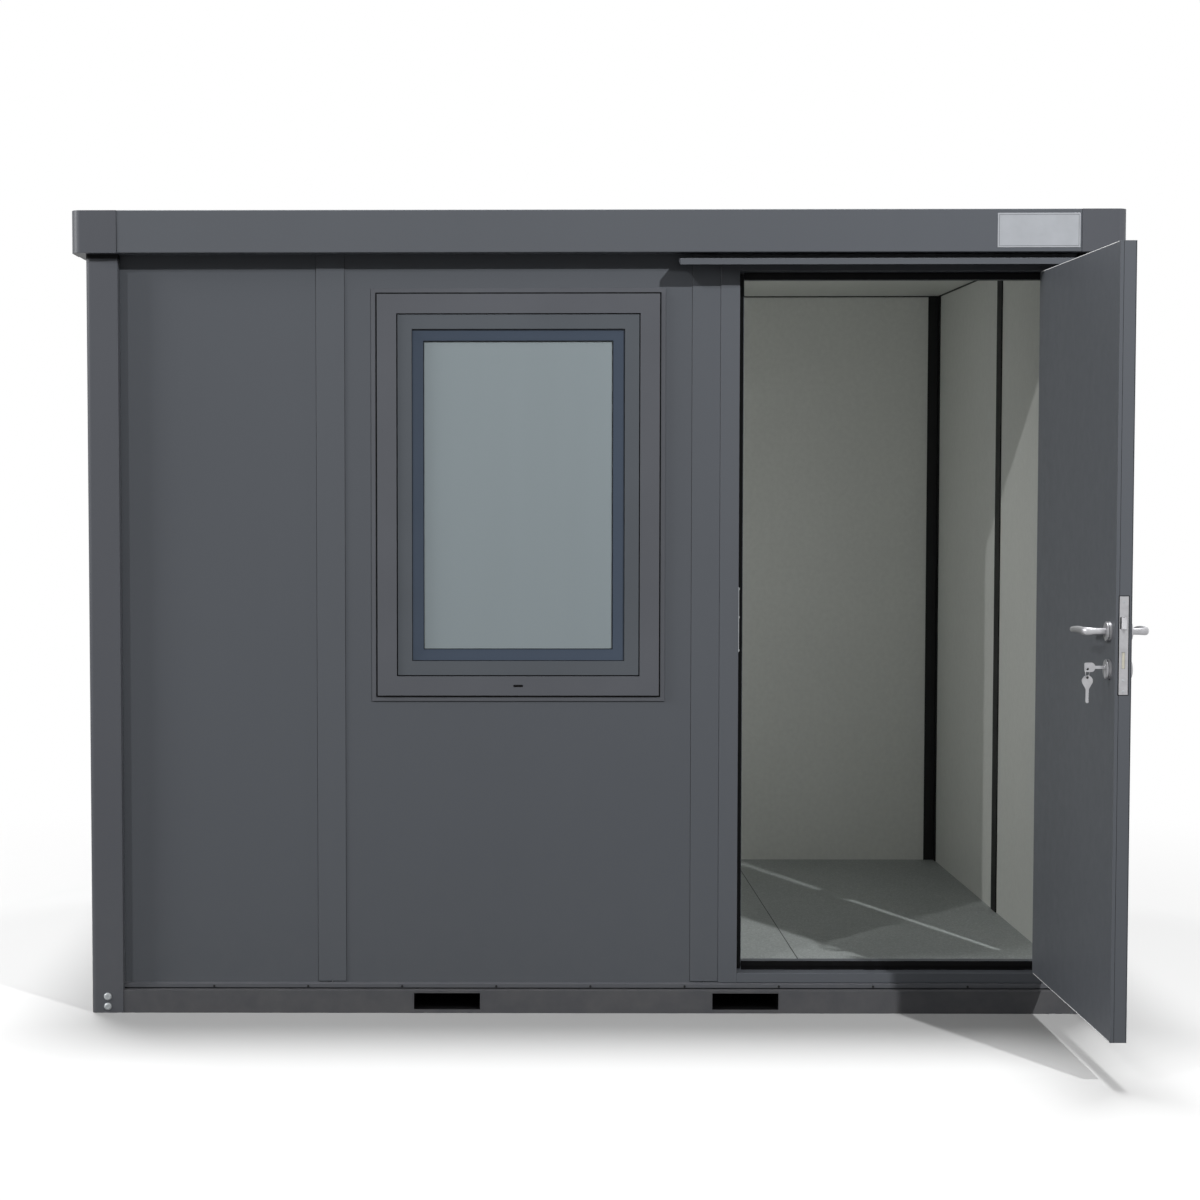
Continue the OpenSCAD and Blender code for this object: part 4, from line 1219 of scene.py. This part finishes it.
class CABIN_OT_label(bpy.types.Operator):
    """Makes the blank label plate"""

    bl_idname = "cabin.label"
    bl_label = "Label plate"

    def execute(self, context):
        copies("label", "blank plate", 0.4 * MM, "label_plate")
        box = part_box("label_plate")
        inset, line, proud = 4 * MM, 1.2 * MM, 0.1 * MM
        border = ring(box, -inset, *span(box[0].y, proud), line)
        frame_rings("label_border", "cabin", "label", "plate border", [border])
        return {"FINISHED"}


class CABIN_OT_fixings(bpy.types.Operator):
    """Makes the bolts at the posts' feet and the screws of the sill trim"""

    bl_idname = "cabin.fixings"
    bl_label = "Bolts and screws"

    def execute(self, context):
        sizes = context.scene.cabin_sizes
        zinc = ("galvanised_steel", "bright zinc")
        low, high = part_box("corner_posts")
        middle = high.x - POST_SIDE / 2
        spots = []
        for x in (-middle, middle):
            for z in (48 * MM, 18.5 * MM):
                spots += [((x, low.y, z), FRONT), ((x, high.y, z), BACK)]
        screws("post_foot_bolts", "cabin", *zinc, sizes.bolt_head, 4 * MM, spots, 0.42)
        low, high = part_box("sill_trims")
        z, pitch = (low.z + high.z) / 2 - MM, sizes.sill_pitch
        first, clear = 260 * MM, 60 * MM
        spots = []
        for x in [first + i * pitch for i in range(-6, 5)]:
            if abs(x) < high.x - clear:
                spots += [((x, low.y, z), FRONT), ((x, high.y, z), BACK)]
        for y in [i * pitch for i in range(-3, 4)]:
            spots += [((low.x, y, z), LEFT), ((high.x, y, z), RIGHT)]
        dark = ("trim_steel", "dark cover")
        screws("sill_screws", "cabin", *dark, sizes.sill_screw, 1.4 * MM, spots)
        return {"FINISHED"}


# ---------------------------------------------------------------- stage


def lamp(name, azimuth, elevation, distance, size, share, target=(0.1, -1.0, 1.1)):
    """A round soft lamp that gives a facing surface the stated share of full light."""
    light = bpy.data.lights.new(name, "AREA")
    light.shape = "DISK"
    light.size = size
    light.energy = share * pi * pi * distance * distance
    turn, rise = radians(azimuth), radians(elevation)
    way = Vector((sin(turn) * cos(rise), -cos(turn) * cos(rise), sin(rise)))
    piece = object_from(light, name)
    piece.location = Vector(target) + way * distance
    piece.rotation_euler = way.to_track_quat("Z", "Y").to_euler()
    piece.visible_glossy = False
    return piece


def floor_finish():
    """Pale floor: white where it is seen, dark grey for the light that it throws back."""
    material = bpy.data.materials.new("pale floor")
    n = Nodes(cleared_tree(material))
    near, far = 2.2, 4.2
    dark, pale = (
        n.add("ShaderNodeBsdfDiffuse", {"Color": (grey, grey, grey)})[0] for grey in (0.045, 0.4)
    )
    place = n.add("ShaderNodeTexCoord")["Object"]
    away = n.add("ShaderNodeVectorMath", {0: place}, operation="LENGTH")["Value"]
    fade = n.ranged(away, near, far, 0.0, 1.0)
    white = n.add("ShaderNodeEmission")[0]
    faded = n.add("ShaderNodeMixShader", {0: fade, 1: pale, 2: white})[0]
    both = n.add("ShaderNodeMixShader", {0: n.seen(), 1: dark, 2: faded})[0]
    n.add("ShaderNodeOutputMaterial", {"Surface": both})
    return material


def white_world(fill):
    """White where it is seen or mirrored, and a gentle fill elsewhere."""
    world = bpy.data.worlds.new("studio")
    n = Nodes(cleared_tree(world))
    feeds = {"Color": (1, 1, 1), "Strength": n.ranged(n.seen(), 0.0, 1.0, fill, 1.0)}
    n.add("ShaderNodeOutputWorld", {"Surface": n.add("ShaderNodeBackground", feeds)[0]})
    return world


class CABIN_OT_stage(bpy.types.Operator):
    """Makes the floor, the lamps and the camera"""

    bl_idname = "cabin.stage"
    bl_label = "Stage"

    def execute(self, context):
        scene = context.scene
        scene.world = white_world(scene.cabin_stage.fill)
        self.floor()
        self.lamps()
        self.camera(scene, scene.cabin_stage)
        scene.view_settings.view_transform = "Standard"
        return {"FINISHED"}

    def floor(self):
        reach = 60
        x0, x1 = y0, y1 = -reach, reach
        mesh = bpy.data.meshes.new("floor")
        mesh.from_pydata([(x0, y0, 0), (x1, y0, 0), (x1, y1, 0), (x0, y1, 0)], [], [range(4)])
        floor = object_from(mesh, "floor")
        mesh.materials.append(floor_finish())

    def lamps(self):
        behind = (0, 1.0, 1.1)
        lamp("lamp right", 30, 34, 7.5, 0.12, 0.8)
        lamp("lamp left", -38, 32, 13.0, 0.24, 0.23)
        lamp("lamp side", -76, 20, 8.0, 2.0, 0.56).visible_glossy = True
        lamp("lamp room", -35, 2, 2.0, 1.0, 0.115, target=(0.95, 0.98, 1.25))
        lamp("lamp back left", -140, 30, 9.0, 4.0, 0.4, target=behind)
        lamp("lamp back right", 140, 30, 9.0, 4.0, 0.4, target=behind)
        sun = bpy.data.lights.new("lamp above", "SUN")
        sun.energy = 1.6 * pi
        sun.angle = radians(14)
        object_from(sun, "lamp above").rotation_euler = (radians(-9.5), 0, 0)

    def camera(self, scene, stage):
        """A camera turned to the right, then tilted down, then rolled."""
        data = bpy.data.cameras.new("camera")
        data.sensor_width = 36.0
        data.lens = stage.lens
        data.shift_x, data.shift_y = stage.shift
        yaw, tilt, roll = stage.camera_turn
        forward = Vector((sin(yaw) * cos(tilt), cos(yaw) * cos(tilt), -sin(tilt)))
        right = Vector((cos(yaw), -sin(yaw), 0))
        down = forward.cross(right)
        across = right * cos(roll) + down * sin(roll)
        up = right * sin(roll) - down * cos(roll)
        turned = Matrix((across, up, -forward)).transposed().to_4x4()
        scene.camera = object_from(data, "camera")
        scene.camera.matrix_world = Matrix.Translation(stage.camera_place) @ turned


class CABIN_PT_panel(bpy.types.Panel):
    """Lists the cabin's pieces, colours and sizes"""

    bl_idname = "CABIN_PT_panel"
    bl_label = "Container office"
    bl_space_type = "VIEW_3D"
    bl_region_type = "UI"
    bl_category = "Cabin"

    def draw(self, context):
        layout = self.layout
        for step in STEPS:
            layout.operator(step.bl_idname)
        for name in GROUPS:
            group = getattr(context.scene, name)
            box = layout.box()
            for key in group.__annotations__:
                box.prop(group, key)


GROUPS = {
    "cabin_colours": CabinColours,
    "cabin_sizes": CabinSizes,
    "cabin_stage": CabinStage,
}
STEPS = (
    CABIN_OT_stage,
    CABIN_OT_frame_steel,
    CABIN_OT_walls,
    CABIN_OT_floor_and_roof,
    CABIN_OT_roof_seams,
    CABIN_OT_window,
    CABIN_OT_door_frame,
    CABIN_OT_door,
    CABIN_OT_lock,
    CABIN_OT_lever,
    CABIN_OT_label,
    CABIN_OT_fixings,
)


def register():
    for kind in (*GROUPS.values(), *STEPS, CABIN_PT_panel):
        bpy.utils.register_class(kind)
    for name, group in GROUPS.items():
        setattr(bpy.types.Scene, name, PointerProperty(type=group))


def unregister():
    for name in GROUPS:
        delattr(bpy.types.Scene, name)
    for kind in (CABIN_PT_panel, *STEPS, *reversed(tuple(GROUPS.values()))):
        bpy.utils.unregister_class(kind)


def main():
    register()
    for step in STEPS:
        family, name = step.bl_idname.split(".")
        getattr(getattr(bpy.ops, family), name)()


if __name__ == "__main__":
    main()
